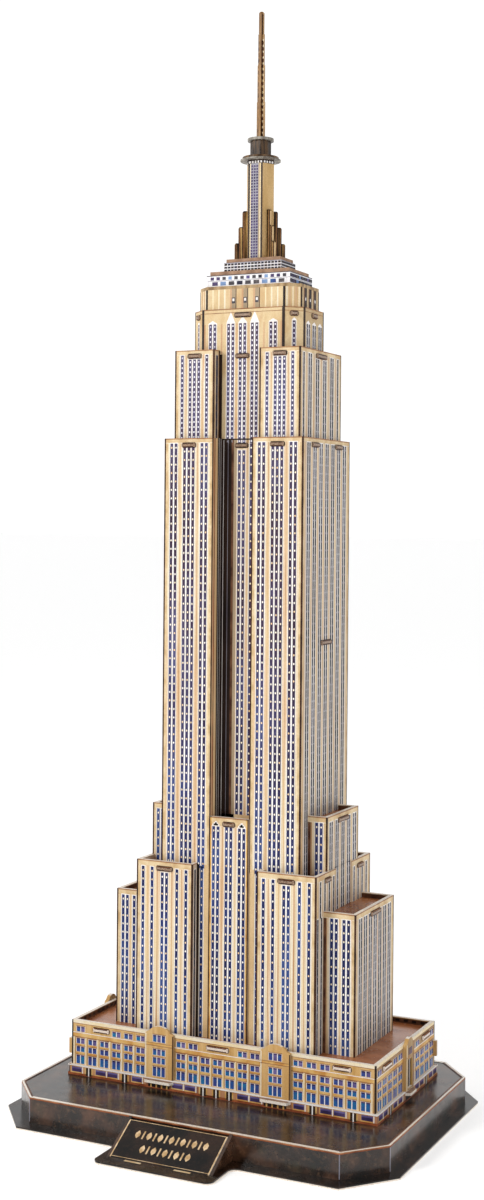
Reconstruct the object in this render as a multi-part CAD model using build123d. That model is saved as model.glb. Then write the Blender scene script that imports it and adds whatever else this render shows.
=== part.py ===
"""Slot-and-tab foam-board model of a stepped Art Deco tower, on a plinth with a sloping nameplate.

Millimetres, +Z up, front towards -Y. The origin is the middle of the base plate, on the ground.
Every wall, plate and rib is a flat or folded foam board; tabs of the level plates pass through
slots in the walls and show as small lozenges on the faces.
"""
from build123d import *
import math
import os

# ---- boards, tabs and slots ----
BOARD = 2.0
FIT = 0.05
TAB_PROUD = 1.0
TAB_CORNER = 0.8
TAB_ROOT = 1.0

# ---- plinth ----
FLANGE_X, FLANGE_Y = 106.0, 82.0
FLANGE_TOP = 1.4
FLANGE_CUT_X, FLANGE_CUT_Y = 20.6, 24.5
RIM_X, RIM_Y = 100.0, 74.0
RIM_CUT_X, RIM_CUT_Y = 17.2, 19.5
RIM_TOP = 13.8
BASE_TOP = 13.6
BASE_RIB_YS = (-30.0, 45.0)
BASE_RIB_XS = (-60.0, 60.0)

# ---- nameplate and the tongue that carries it ----
TONGUE_X = 31.0
TONGUE_FRONT = 104.0
TONGUE_MID = 1.5
TONGUE_CORNER = 4.0
PLATE_X = 26.0
PLATE_FOOT_Y = 96.0
PLATE_HEAD_Y, PLATE_HEAD_Z = 76.0, 12.9
CHEEK, CHEEK_DROP = 1.6, 0.4
PLATE_TAB_X, PLATE_TAB_WIDTH, PLATE_TAB_DEPTH = 13.0, 8.6, 3.0

# ---- the tower's axis, behind the middle of the base ----
TOWER_Y = 9.9

# ---- podium (half sizes from the tower's axis) ----
PODIUM_X, PODIUM_Y = 84.0, 41.8
PODIUM_ROOF = 38.8
PODIUM_TOP = 41.5
LOCK_LOW, LOCK_HIGH, LOCK_PROUD = 24.0, 31.8, 1.7
PODIUM_RIB_YS = (-24.0, 24.0)
PODIUM_RIB_XS = (-48.0, 0.0, 48.0)
BAND = 1.4
BAND_TOP = 18.8

# ---- street portals ----
PORTAL_MID, PORTAL_HALF = 32.1, 7.95
PORTAL_SHOULDER, PORTAL_APEX = 42.0, 45.0
PORTAL_PROUD = 1.6
PORTAL_EAR, PORTAL_EAR_DROP = 1.6, 0.8
END_PORTAL_HALF, END_PORTAL_SHOULDER, END_PORTAL_APEX = 5.2, 42.2, 44.4
DOOR_HALF, DOOR_SILL, DOOR_TOP, DOOR_DEPTH = 3.2, 19.8, 34.0, 1.0
CANOPY_TOP, CANOPY_THICK, CANOPY_REACH = 18.2, 1.4, 2.6
CANOPY_CLIP, CANOPY_OVERHANG = 1.2, 0.3

# ---- low end wings ----
WING_X, WING_Y = 66.8, 26.2
WING_ROOF, WING_TOP = 105.6, 108.2

# ---- corner blocks ----
BLOCK_X, BLOCK_Y = 49.8, 35.8
BLOCK_INNER_X = 17.9
BLOCK_SIDE_END = 10.6
SETBACK, BLOCK_TOP = 124.0, 126.7

# ---- upper wings ----
UPPER_WING_X, UPPER_WING_Y = 49.0, 20.6
UPPER_WING_ROOF, UPPER_WING_TOP = 151.0, 153.5

# ---- centre blocks and their link boards ----
CENTRE_X, CENTRE_Y = 11.07, 31.2
CENTRE_ROOF, CENTRE_TOP = 148.5, 150.9
LINK_TOP = 126.0

# ---- shaft ----
SHAFT_X, SHAFT_Y = 38.6, 30.3
SHAFT_INNER_X = 10.75
CORE_X, CORE_Y = 14.0, 19.8
MIDDLE_FLOOR = 239.7
SHAFT_ROOF, SHAFT_TOP = 339.3, 341.8

# ---- upper shaft ----
UPPER_X, UPPER_Y = 35.0, 26.4
UPPER_INNER_X = 12.8
UPPER_ROOF, UPPER_TOP = 384.8, 386.9

# ---- eight-sided crown and attic: front half width, front depth, end half width, end depth ----
CROWN = (22.8, CORE_Y, 30.9, 12.3)
CROWN_ROOF, CROWN_TOP = 405.6, 408.0
ATTIC = (22.0, 17.3, 28.6, 11.1)
ATTIC_TOP, ATTIC_ROOF = 418.4, 420.1

# ---- deck and lantern ----
DECK_X, DECK_Y, DECK_TOP = 23.5, 14.0, 426.3
DECK_ROOF_INSET, DECK_ROOF = 1.3, 428.4
LANTERN_X, LANTERN_Y, LANTERN_TOP = 16.2, 8.9, 433.3
LANTERN_ROOF_INSET, LANTERN_ROOF = 0.9, 435.2
THIN_BOARD = 1.5

# ---- mast ----
MAST_FRONT, MAST_DEPTH, MAST_POINT = 4.1, 6.1, 7.7
MAST_TOP = 486.1
BUTTRESS_STEPS = ((6.45, 443.6), (4.5, 452.0), (2.5, 460.3))
BUTTRESS_CORNER = 0.9
COLLAR_R, COLLAR_TOP = 10.5, 486.8
CAP_R, CAP_TOP = 9.4, 488.1
DRUM_R, DRUM_TOP = 5.4, 496.5
HEAD_R, HEAD_TOP = 6.8, 497.8

# ---- antenna: half width and the height that it holds to ----
ANTENNA_STEPS = ((2.15, 517.0), (1.9, 536.0), (1.6, 552.0), (1.3, 563.7))
ANTENNA_THICK = 1.2
ANTENNA_SLOT_Z = 517.0


# ------------------------------------------------------------------ shared shapes

def block(x0, x1, y0, y1, z0, z1):
    """A box between two corners."""
    middle = Pos((x0 + x1) / 2, (y0 + y1) / 2, (z0 + z1) / 2)
    return middle * Box(x1 - x0, y1 - y0, z1 - z0)


def centred(half_x, half_y, z0, z1):
    """A box about the Z axis."""
    return block(-half_x, half_x, -half_y, half_y, z0, z1)


def prism(points, z0, z1):
    """A polygon in plan, raised from z0 to z1."""
    face = make_face(Polyline(*points, close=True))
    return extrude(Pos(0, 0, z0) * face, z1 - z0)


def upright(points, y0, y1):
    """A polygon drawn in X and Z, as thick as the gap from y0 to y1."""
    outline = [(x, y1, z) for x, z in points]
    face = make_face(Polyline(*outline, close=True))
    return extrude(face, y1 - y0, dir=(0, -1, 0))


def flip_x(shape):
    return mirror(shape, about=Plane.YZ)


def flip_y(shape):
    return mirror(shape, about=Plane.XZ)


def turn_half(shape):
    return Rot(0, 0, 180) * shape


def cut_corner_outline(half_x, half_y, cut_x, cut_y):
    """A rectangle with four clipped corners, anticlockwise from the front left."""
    return [
        (-half_x + cut_x, -half_y),
        (half_x - cut_x, -half_y),
        (half_x, -half_y + cut_y),
        (half_x, half_y - cut_y),
        (half_x - cut_x, half_y),
        (-half_x + cut_x, half_y),
        (-half_x, half_y - cut_y),
        (-half_x, -half_y + cut_y),
    ]


def octagon(spec):
    """An eight-sided outline from front half width, front depth, end half width, end depth."""
    front_x, front_y, end_x, end_y = spec
    return cut_corner_outline(end_x, front_y, end_x - front_x, front_y - end_y)


def shrink(points, distance):
    """The same convex outline, moved in by a distance."""
    face = make_face(Polyline(*points, close=True))
    inner = offset(face, amount=-distance, kind=Kind.INTERSECTION)
    return inner.face()


def ring(points, thick, z0, z1):
    """A closed wall around an outline."""
    hollow = extrude(Pos(0, 0, z0) * shrink(points, thick), z1 - z0)
    return prism(points, z0, z1) - hollow


def tab_body(x, y, turn, width, top, spare):
    """A tab at a wall's outer face; turn is the way that it points, in degrees from +X."""
    reach = TAB_PROUD + BOARD + TAB_ROOT
    blank = Box(reach, width + 2 * spare, BOARD + 2 * spare)
    return Pos(x, y, top - BOARD / 2) * Rot(0, 0, turn) * Pos(TAB_PROUD - reach / 2, 0, 0) * blank


def tab(x, y, turn, width, top):
    """The tab, with the two corners of its free end rounded."""
    blank = tab_body(x, y, turn, width, top, 0)
    upright_edges = blank.edges().filter_by(Axis.Z)
    way = Vector(1, 0, 0).rotate(Axis.Z, turn)
    outer = sorted(upright_edges, key=lambda edge: edge.center().dot(way))[-2:]
    return fillet(outer, TAB_CORNER)


def with_tabs(plate, places, top):
    for place in places:
        plate += tab(*place, top)
    return plate


def with_slots(wall, places, top):
    for place in places:
        wall -= tab_body(*place, top, FIT)
    return wall


def around(places):
    """Tab places mirrored to all four sides, each listed once."""
    found = []
    for x, y, turn, width in places:
        for sign_x in (1, -1):
            for sign_y in (1, -1):
                way = Vector(1, 0, 0).rotate(Axis.Z, turn)
                turned = math.degrees(math.atan2(sign_y * way.Y, sign_x * way.X))
                place = (round(sign_x * x, 4), round(sign_y * y, 4), round(turned, 3) % 360, width)
                if place not in found:
                    found.append(place)
    return found


def rib_grid(long_ys, cross_xs, half_x, half_y, z0, z1):
    """Long and cross ribs, each slotted half its height where they cross."""
    middle = (z0 + z1) / 2
    ribs = []
    for y in long_ys:
        rib = block(-half_x, half_x, y - BOARD / 2, y + BOARD / 2, z0, z1)
        for x in cross_xs:
            half = BOARD / 2 + FIT
            rib -= block(x - half, x + half, y - BOARD, y + BOARD, middle, z1)
        ribs.append(rib)
    for x in cross_xs:
        rib = block(x - BOARD / 2, x + BOARD / 2, -half_y, half_y, z0, z1)
        for y in long_ys:
            half = BOARD / 2 + FIT
            rib -= block(x - BOARD, x + BOARD, y - half, y + half, z0, middle)
        ribs.append(rib)
    return ribs


def u_wall(end_x, half_y, root_x, z0, z1):
    """A strip folded round the +X end: front, end and back in one piece."""
    outer = block(root_x, end_x, -half_y, half_y, z0, z1)
    inner = block(root_x - BOARD, end_x - BOARD, -half_y + BOARD, half_y - BOARD, z0, z1)
    return outer - inner


# ------------------------------------------------------------------ plinth

def base_flange():
    """The thin ground plate, with the tongue that the nameplate stands on."""
    plate = prism(cut_corner_outline(FLANGE_X, FLANGE_Y, FLANGE_CUT_X, FLANGE_CUT_Y), 0, FLANGE_TOP)
    left, right = TONGUE_MID - TONGUE_X, TONGUE_MID + TONGUE_X
    tongue = block(left, right, -TONGUE_FRONT, -FLANGE_Y + BOARD, 0, FLANGE_TOP)
    outer = tongue.edges().filter_by(Axis.Z).sort_by(Axis.Y)[:2]
    plate += fillet(outer, TONGUE_CORNER)
    roots = [
        edge
        for edge in plate.edges().filter_by(Axis.Z)
        if abs(edge.center().Y + FLANGE_Y) < FIT and abs(abs(edge.center().X - TONGUE_MID) - TONGUE_X) < FIT
    ]
    plate = fillet(roots, TONGUE_CORNER)
    for slot in nameplate_tabs(FIT):
        plate -= slot
    return plate


def rim_wall_parts():
    """Front, back, left and right edge boards of the plinth."""
    outline = cut_corner_outline(RIM_X, RIM_Y, RIM_CUT_X, RIM_CUT_Y)
    wall = ring(outline, BOARD, FLANGE_TOP, RIM_TOP)
    seam = RIM_X - RIM_CUT_X
    front_zone = block(-seam, seam, -RIM_Y, -RIM_Y + BOARD, FLANGE_TOP, RIM_TOP)
    back_zone = flip_y(front_zone)
    sides = wall - front_zone - back_zone
    right = sides & block(0, RIM_X, -RIM_Y, RIM_Y, FLANGE_TOP, RIM_TOP)
    return front_zone, back_zone, flip_x(right), right


def base_top_plate():
    outline = cut_corner_outline(RIM_X, RIM_Y, RIM_CUT_X, RIM_CUT_Y)
    face = shrink(outline, BOARD + FIT)
    return extrude(Pos(0, 0, BASE_TOP - BOARD) * face, BOARD)


def base_ribs():
    inner_x = RIM_X - BOARD - FIT
    inner_y = RIM_Y - BOARD - FIT
    return rib_grid(BASE_RIB_YS, BASE_RIB_XS, inner_x, inner_y, FLANGE_TOP, BASE_TOP - BOARD)


def nameplate_slope():
    return math.atan2(PLATE_HEAD_Z - FLANGE_TOP, PLATE_FOOT_Y - PLATE_HEAD_Y)


def along_x(section, x, thick):
    """A Y-Z section, as thick as asked from x towards +X."""
    outline = [(x, y, z) for y, z in section]
    return extrude(make_face(Polyline(*outline, close=True)), thick, dir=(1, 0, 0))


def nameplate_tabs(spare):
    """The two foot tabs, or with spare their slots in the tongue."""
    root = PLATE_FOOT_Y - PLATE_TAB_DEPTH
    tabs = []
    for x in (TONGUE_MID - PLATE_TAB_X, TONGUE_MID + PLATE_TAB_X):
        half = PLATE_TAB_WIDTH / 2 + spare
        tabs.append(block(x - half, x + half, -PLATE_FOOT_Y - spare, -root + spare, 0, FLANGE_TOP))
    return tabs


def nameplate_board():
    """A board that leans back against the plinth's front edge."""
    slope = nameplate_slope()
    section = [
        (-PLATE_FOOT_Y, FLANGE_TOP),
        (-PLATE_HEAD_Y, PLATE_HEAD_Z),
        (-PLATE_HEAD_Y + BOARD * math.sin(slope), PLATE_HEAD_Z - BOARD * math.cos(slope)),
        (-PLATE_FOOT_Y + BOARD / math.sin(slope), FLANGE_TOP),
    ]
    board = along_x(section, TONGUE_MID - PLATE_X, 2 * PLATE_X)
    for foot in nameplate_tabs(0):
        board += foot
    return board


def nameplate_cheeks():
    """A triangular board at each end of the nameplate, a little lower than its face."""
    slope = nameplate_slope()
    back_y = -RIM_Y - FIT
    foot_y = -PLATE_FOOT_Y + CHEEK_DROP / math.sin(slope)
    head_z = FLANGE_TOP + (back_y - foot_y) * math.tan(slope)
    section = [(foot_y, FLANGE_TOP), (back_y, FLANGE_TOP), (back_y, head_z)]
    right = along_x(section, TONGUE_MID + PLATE_X + FIT, CHEEK)
    left = along_x(section, TONGUE_MID - PLATE_X - FIT - CHEEK, CHEEK)
    return [left, right]


# ------------------------------------------------------------------ podium, about the tower's axis

PODIUM_TABS = around([
    (0.0, PODIUM_Y, 90, 12.0),
    (66.6, PODIUM_Y, 90, 9.4),
    (PODIUM_X, 27.7, 0, 10.6),
])


def podium_front_right_wall():
    """Front and right faces in one folded strip; its left end locks through the other strip."""
    front = block(-PODIUM_X + BOARD, PODIUM_X, -PODIUM_Y, -PODIUM_Y + BOARD, BASE_TOP, PODIUM_TOP)
    right = block(PODIUM_X - BOARD, PODIUM_X, -PODIUM_Y, PODIUM_Y, BASE_TOP, PODIUM_TOP)
    end = -PODIUM_X - LOCK_PROUD
    lock = block(end, -PODIUM_X + BOARD, -PODIUM_Y + FIT, -PODIUM_Y + BOARD, LOCK_LOW, LOCK_HIGH)
    wall = front + right + lock
    slot_y = PODIUM_Y - BOARD - FIT
    slot = block(PODIUM_X - BOARD - FIT, PODIUM_X + FIT, slot_y, PODIUM_Y, LOCK_LOW - FIT, LOCK_HIGH + FIT)
    return with_slots(wall - slot, PODIUM_TABS, PODIUM_ROOF)


def podium_roof():
    inner_x = PODIUM_X - BOARD - FIT
    inner_y = PODIUM_Y - BOARD - FIT
    plate = centred(inner_x, inner_y, PODIUM_ROOF - BOARD, PODIUM_ROOF)
    return with_tabs(plate, PODIUM_TABS, PODIUM_ROOF)


def podium_ribs():
    inner_x = PODIUM_X - BOARD - FIT
    inner_y = PODIUM_Y - BOARD - FIT
    top = PODIUM_ROOF - BOARD
    return rib_grid(PODIUM_RIB_YS, PODIUM_RIB_XS, inner_x, inner_y, BASE_TOP, top)


def street_band_front_right():
    """The thin street-level board round the front and right faces; its top is a pale ledge."""
    outer_x = PODIUM_X + BAND
    outer_y = PODIUM_Y + BAND
    front = block(-PODIUM_X, outer_x, -outer_y, -PODIUM_Y, BASE_TOP, BAND_TOP)
    right = block(PODIUM_X, outer_x, -outer_y, PODIUM_Y, BASE_TOP, BAND_TOP)
    return front + right


def portal_outline(half, shoulder, apex):
    """A tall board with a low curved pediment, as an X-Z face on the plane y = 0."""
    ear = half - PORTAL_EAR
    side_top = shoulder - PORTAL_EAR_DROP
    sides = Polyline((-ear, 0, shoulder), (-half, 0, side_top), (-half, 0, BAND_TOP),
                     (half, 0, BAND_TOP), (half, 0, side_top), (ear, 0, shoulder))
    crown = ThreePointArc((ear, 0, shoulder), (0, 0, apex), (-ear, 0, shoulder))
    return make_face(sides + crown)


def street_portal():
    face = portal_outline(PORTAL_HALF, PORTAL_SHOULDER, PORTAL_APEX)
    board = extrude(face, PORTAL_PROUD, dir=(0, -1, 0))
    return Pos(PORTAL_MID, -PODIUM_Y, 0) * board


def street_portals():
    front_right = street_portal()
    front = [front_right, flip_x(front_right)]
    return front + [flip_y(portal) for portal in front]


def end_portals():
    """The taller doorways on the two short ends, each with a sunk door."""
    face = portal_outline(END_PORTAL_HALF, END_PORTAL_SHOULDER, END_PORTAL_APEX)
    board = extrude(face, BOARD, dir=(0, -1, 0))
    door = block(-DOOR_HALF, DOOR_HALF, -BOARD, -BOARD + DOOR_DEPTH, DOOR_SILL, DOOR_TOP)
    right = Pos(PODIUM_X, 0, 0) * Rot(0, 0, 90) * (board - door)
    return [right, flip_x(right)]


def canopy(half):
    """A flat awning with clipped outer corners, out from y = 0."""
    front = half - CANOPY_CLIP
    outline = [(-half, 0), (-front, -CANOPY_REACH), (front, -CANOPY_REACH), (half, 0)]
    return prism(outline, CANOPY_TOP - CANOPY_THICK, CANOPY_TOP)


def street_canopies():
    long_side = Pos(PORTAL_MID, -PODIUM_Y - BAND, 0) * canopy(PORTAL_HALF + CANOPY_OVERHANG)
    end_side = Pos(PODIUM_X + BAND, 0, 0) * Rot(0, 0, 90) * canopy(END_PORTAL_HALF)
    front = [long_side, flip_x(long_side)]
    return front + [flip_y(piece) for piece in front] + [end_side, flip_x(end_side)]


# ------------------------------------------------------------------ lower setbacks

WING_TABS = [(WING_X, 0.0, 0, 13.0)]
BLOCK_TABS = around([(33.9, BLOCK_Y, 90, 9.0), (BLOCK_X, 21.6, 0, 7.4)])
UPPER_WING_TABS = [(UPPER_WING_X, 0.0, 0, 13.0)]
CENTRE_TABS = [(0.0, -CENTRE_Y, 270, 6.6)]


def right_wing_wall():
    wall = u_wall(WING_X, WING_Y, BLOCK_X, PODIUM_ROOF, WING_TOP)
    return with_slots(wall, WING_TABS, WING_ROOF)


def right_wing_roof():
    low = WING_ROOF - BOARD
    depth = WING_Y - BOARD - FIT
    plate = block(BLOCK_X + FIT, WING_X - BOARD - FIT, -depth, depth, low, WING_ROOF)
    inner = BLOCK_SIDE_END - FIT
    plate += block(UPPER_WING_X - BOARD, BLOCK_X + BOARD, -inner, inner, low, WING_ROOF)
    return with_tabs(plate, WING_TABS, WING_ROOF)


def front_right_block_wall():
    """Outer side, front and inner side of one corner block, in one folded strip."""
    outer = block(BLOCK_X - BOARD, BLOCK_X, -BLOCK_Y, -BLOCK_SIDE_END, PODIUM_ROOF, BLOCK_TOP)
    front = block(BLOCK_INNER_X, BLOCK_X, -BLOCK_Y, -BLOCK_Y + BOARD, PODIUM_ROOF, BLOCK_TOP)
    inner_end = -SHAFT_Y - FIT
    inner = block(BLOCK_INNER_X, BLOCK_INNER_X + BOARD, -BLOCK_Y, inner_end, PODIUM_ROOF, BLOCK_TOP)
    return with_slots(outer + front + inner, BLOCK_TABS, SETBACK)


def setback_plate():
    """The level plate inside the four corner blocks, which the shaft stands on."""
    inner_x = BLOCK_X - BOARD - FIT
    inner_y = BLOCK_Y - BOARD - FIT
    low = SETBACK - BOARD
    plate = centred(inner_x, inner_y, low, SETBACK)
    link_x = BLOCK_INNER_X + BOARD + FIT
    link_y = SHAFT_Y - BOARD - FIT
    tongue_x = UPPER_WING_X - BOARD - FIT
    side_y = BLOCK_SIDE_END
    for sign in (1, -1):
        y0, y1 = sorted((sign * link_y, sign * BLOCK_Y))
        plate -= block(-link_x, link_x, y0, y1, low, SETBACK)
        x0, x1 = sorted((sign * tongue_x, sign * BLOCK_X))
        plate -= block(x0, x1, -side_y, side_y, low, SETBACK)
    return with_tabs(plate, BLOCK_TABS, SETBACK)


def right_upper_wing_wall():
    """A folded strip on the setback plate, with a tongue down to the low wing's roof."""
    wall = u_wall(UPPER_WING_X, UPPER_WING_Y, SHAFT_X + FIT, SETBACK, UPPER_WING_TOP)
    reach = BLOCK_SIDE_END - FIT
    tongue = block(UPPER_WING_X - BOARD, UPPER_WING_X, -reach, reach, WING_ROOF, SETBACK)
    rebate_x = BLOCK_X - BOARD - FIT
    rebate = block(rebate_x, UPPER_WING_X, reach, UPPER_WING_Y, SETBACK, BLOCK_TOP + FIT)
    wall = wall + tongue - rebate - flip_y(rebate)
    return with_slots(wall, UPPER_WING_TABS, UPPER_WING_ROOF)


def right_upper_wing_roof():
    half_y = UPPER_WING_Y - BOARD - FIT
    low = UPPER_WING_ROOF - BOARD
    plate = block(SHAFT_X + FIT, UPPER_WING_X - BOARD - FIT, -half_y, half_y, low, UPPER_WING_ROOF)
    return with_tabs(plate, UPPER_WING_TABS, UPPER_WING_ROOF)


def front_centre_wall():
    """The centre board, proud of the two link boards that join it to the corner blocks."""
    front_y = -CENTRE_Y
    link_y = -SHAFT_Y
    face = block(-CENTRE_X, CENTRE_X, front_y, link_y, PODIUM_ROOF, CENTRE_TOP)
    core_x = SHAFT_INNER_X - FIT
    back = block(-core_x, core_x, link_y, front_y + BOARD, PODIUM_ROOF, CENTRE_TOP)
    link_x = BLOCK_INNER_X + BOARD
    links = block(-link_x, link_x, link_y, link_y + BOARD, PODIUM_ROOF, LINK_TOP)
    return with_slots(face + back + links, CENTRE_TABS, CENTRE_ROOF)


def front_centre_roof():
    back_y = -CORE_Y - FIT
    front_y = -CENTRE_Y + BOARD + FIT
    half_x = SHAFT_INNER_X - FIT
    plate = block(-half_x, half_x, front_y, back_y, CENTRE_ROOF - BOARD, CENTRE_ROOF)
    return with_tabs(plate, CENTRE_TABS, CENTRE_ROOF)


# ------------------------------------------------------------------ shaft and upper shaft

SHAFT_TABS = around([
    (24.6, SHAFT_Y, 90, 7.6),
    (SHAFT_X, 15.2, 0, 8.8),
    (0.0, CORE_Y, 90, 7.0),
])
MIDDLE_TABS = around([(SHAFT_X, 0.0, 0, 13.0)])
UPPER_TABS = around([
    (23.7, UPPER_Y, 90, 7.4),
    (UPPER_X, 0.0, 0, 13.0),
    (0.0, CORE_Y, 90, 7.3),
])


def right_shell(half_x, half_y, inner_x, z0, z1):
    """Return, bay, end, bay and return in one folded strip, open towards the core."""
    shell = u_wall(half_x, half_y, inner_x, z0, z1)
    back_return = block(inner_x, inner_x + BOARD, CORE_Y + FIT, half_y, z0, z1)
    return shell + back_return + flip_y(back_return)


def shaft_right_wall():
    shell = right_shell(SHAFT_X, SHAFT_Y, SHAFT_INNER_X, SETBACK, SHAFT_TOP)
    link_x = BLOCK_INNER_X + BOARD + FIT
    link_y = SHAFT_Y - BOARD - FIT
    notch = block(0, link_x, link_y, SHAFT_Y, SETBACK, LINK_TOP + FIT)
    shell = shell - notch - flip_y(notch)
    shell = with_slots(shell, SHAFT_TABS, SHAFT_ROOF)
    return with_slots(shell, MIDDLE_TABS, MIDDLE_FLOOR)


def shaft_front_recess():
    """The core board at the back of the front recess, from the centre roof up."""
    wall = block(-CORE_X, CORE_X, -CORE_Y, -CORE_Y + BOARD, SETBACK, SHAFT_TOP - FIT)
    return with_slots(wall, SHAFT_TABS, SHAFT_ROOF)


def floor_plate(half_x, half_y, top):
    """A level plate that fills a shell, notched back to the core boards."""
    inner_x = half_x - BOARD - FIT
    inner_y = half_y - BOARD - FIT
    plate = centred(inner_x, inner_y, top - BOARD, top)
    core_y = CORE_Y - BOARD - FIT
    notch_x = CORE_X + BOARD
    notch = block(-notch_x, notch_x, core_y, half_y, top - BOARD, top)
    return plate - notch - flip_y(notch)


def shaft_middle_plate():
    return with_tabs(floor_plate(SHAFT_X, SHAFT_Y, MIDDLE_FLOOR), MIDDLE_TABS, MIDDLE_FLOOR)


def shaft_top_plate():
    return with_tabs(floor_plate(SHAFT_X, SHAFT_Y, SHAFT_ROOF), SHAFT_TABS, SHAFT_ROOF)


def upper_right_wall():
    shell = right_shell(UPPER_X, UPPER_Y, UPPER_INNER_X, SHAFT_ROOF, UPPER_TOP)
    return with_slots(shell, UPPER_TABS, UPPER_ROOF)


def upper_top_plate():
    return with_tabs(floor_plate(UPPER_X, UPPER_Y, UPPER_ROOF), UPPER_TABS, UPPER_ROOF)


# ------------------------------------------------------------------ crown, attic, deck, lantern

def crown_tabs():
    front_x, front_y, end_x, end_y = CROWN
    middle_x = (front_x + end_x) / 2
    middle_y = (front_y + end_y) / 2
    turn = math.degrees(math.atan2(end_x - front_x, front_y - end_y))
    return around([
        (0.0, front_y, 90, 9.2),
        (middle_x, middle_y, turn, 4.2),
        (end_x, 0.0, 0, 6.6),
    ])


CROWN_TABS = crown_tabs()


def crown_front_wall():
    """The crown's front, whose tongue closes the recess of the upper shaft."""
    wall = block(-CROWN[0], CROWN[0], -CORE_Y, -CORE_Y + BOARD, UPPER_ROOF, CROWN_TOP)
    reach = CORE_X + BOARD - FIT
    lower = block(-reach, reach, -CORE_Y, -CORE_Y + BOARD, SHAFT_TOP, UPPER_ROOF)
    wall = with_slots(wall + lower, UPPER_TABS, UPPER_ROOF)
    return with_slots(wall, CROWN_TABS, CROWN_ROOF)


def crown_right_wall():
    """Clipped corner, end and clipped corner in one folded strip."""
    wall = ring(octagon(CROWN), BOARD, UPPER_ROOF, CROWN_TOP)
    long_side = block(-CROWN[0], CROWN[0], -CORE_Y, -CORE_Y + BOARD, UPPER_ROOF, CROWN_TOP)
    wall = wall - long_side - flip_y(long_side)
    wall = wall & block(0, CROWN[2], -CORE_Y, CORE_Y, UPPER_ROOF, CROWN_TOP)
    return with_slots(wall, CROWN_TABS, CROWN_ROOF)


def crown_top_plate():
    face = shrink(octagon(CROWN), BOARD + FIT)
    plate = extrude(Pos(0, 0, CROWN_ROOF - BOARD) * face, BOARD)
    return with_tabs(plate, CROWN_TABS, CROWN_ROOF)


def attic_wall():
    return ring(octagon(ATTIC), BOARD, CROWN_ROOF, ATTIC_TOP)


def attic_roof():
    return prism(octagon(ATTIC), ATTIC_TOP, ATTIC_ROOF)


def rectangle(half_x, half_y):
    return [(-half_x, -half_y), (half_x, -half_y), (half_x, half_y), (-half_x, half_y)]


def deck_wall():
    return ring(rectangle(DECK_X, DECK_Y), BOARD, ATTIC_ROOF, DECK_TOP)


def deck_roof():
    inset = DECK_ROOF_INSET
    return centred(DECK_X - inset, DECK_Y - inset, DECK_TOP, DECK_ROOF)


def lantern_wall():
    return ring(rectangle(LANTERN_X, LANTERN_Y), BOARD, DECK_ROOF, LANTERN_TOP)


def lantern_roof():
    inset = LANTERN_ROOF_INSET
    return centred(LANTERN_X - inset, LANTERN_Y - inset, LANTERN_TOP, LANTERN_ROOF)


# ------------------------------------------------------------------ mast and antenna

def mast_tube():
    """A six-sided tube: flat front and back, and two slanting faces that meet at each end."""
    outline = [
        (-MAST_FRONT, -MAST_DEPTH),
        (MAST_FRONT, -MAST_DEPTH),
        (MAST_POINT, 0),
        (MAST_FRONT, MAST_DEPTH),
        (-MAST_FRONT, MAST_DEPTH),
        (-MAST_POINT, 0),
    ]
    return ring(outline, THIN_BOARD, LANTERN_ROOF, MAST_TOP)


def mast_wing():
    """One stepped buttress, out from a wall at x = 0, rounded at each outer corner."""
    outline = [(FIT, LANTERN_ROOF)]
    low = LANTERN_ROOF
    for reach, height in BUTTRESS_STEPS:
        outline.append((reach, low))
        outline.append((reach, height))
        low = height
    outline.append((FIT, low))
    board = upright(outline, -THIN_BOARD / 2, THIN_BOARD / 2)
    corners = []
    for reach, height in BUTTRESS_STEPS:
        for edge in board.edges().filter_by(Axis.Y):
            middle = edge.center()
            if abs(middle.X - reach) < FIT and abs(middle.Z - height) < FIT:
                corners.append(edge)
    return fillet(corners, BUTTRESS_CORNER)


def mast_wings():
    """Four buttresses, each square to the middle of one of the mast's slanting faces."""
    slant = math.degrees(math.atan2(MAST_POINT - MAST_FRONT, MAST_DEPTH))
    middle = Pos((MAST_FRONT + MAST_POINT) / 2, MAST_DEPTH / 2, 0)
    back_right = middle * Rot(0, 0, slant) * mast_wing()
    back = [back_right, flip_x(back_right)]
    return back + [flip_y(wing) for wing in back]


def disc(radius, z0, z1):
    return Pos(0, 0, (z0 + z1) / 2) * Cylinder(radius, z1 - z0)


def mast_drum():
    """An eight-sided folded drum between the two discs."""
    outline = [
        (DRUM_R * math.cos(math.radians(turn)), DRUM_R * math.sin(math.radians(turn)))
        for turn in (22.5 + 45 * side for side in range(8))
    ]
    return ring(outline, THIN_BOARD, CAP_TOP, DRUM_TOP)


def antenna_blank():
    """A tapering board in the X-Z plane, in steps, with a rounded tip."""
    right = []
    low = HEAD_TOP
    for half, height in ANTENNA_STEPS:
        right.append((half, low))
        right.append((half, height))
        low = height
    left = [(-x, z) for x, z in reversed(right)]
    board = upright(right + left, -ANTENNA_THICK / 2, ANTENNA_THICK / 2)
    tip = [edge for edge in board.edges().filter_by(Axis.Y) if abs(edge.center().Z - low) < FIT]
    return fillet(tip, ANTENNA_STEPS[-1][0] - 4 * FIT)


def antenna_boards():
    """Two crossed boards: one slotted from below, the other from above."""
    half = ANTENNA_THICK / 2 + FIT
    top = ANTENNA_STEPS[-1][1]
    blank = antenna_blank()
    front = blank - block(-half, half, -half, half, HEAD_TOP, ANTENNA_SLOT_Z)
    turned = Rot(0, 0, 90) * blank
    cross = turned - block(-half, half, -half, half, ANTENNA_SLOT_Z - FIT, top)
    return front, cross


# ------------------------------------------------------------------ the assembly

def plinth_nodes():
    front, back, left, right = rim_wall_parts()
    return {
        "base_flange": base_flange(),
        "base_top_plate": base_top_plate(),
        "base_front_wall": front,
        "base_back_wall": back,
        "base_left_surround": left,
        "base_right_surround": right,
        "base_ribs": base_ribs(),
        "nameplate_board": nameplate_board(),
        "nameplate_cheeks": nameplate_cheeks(),
    }


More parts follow.
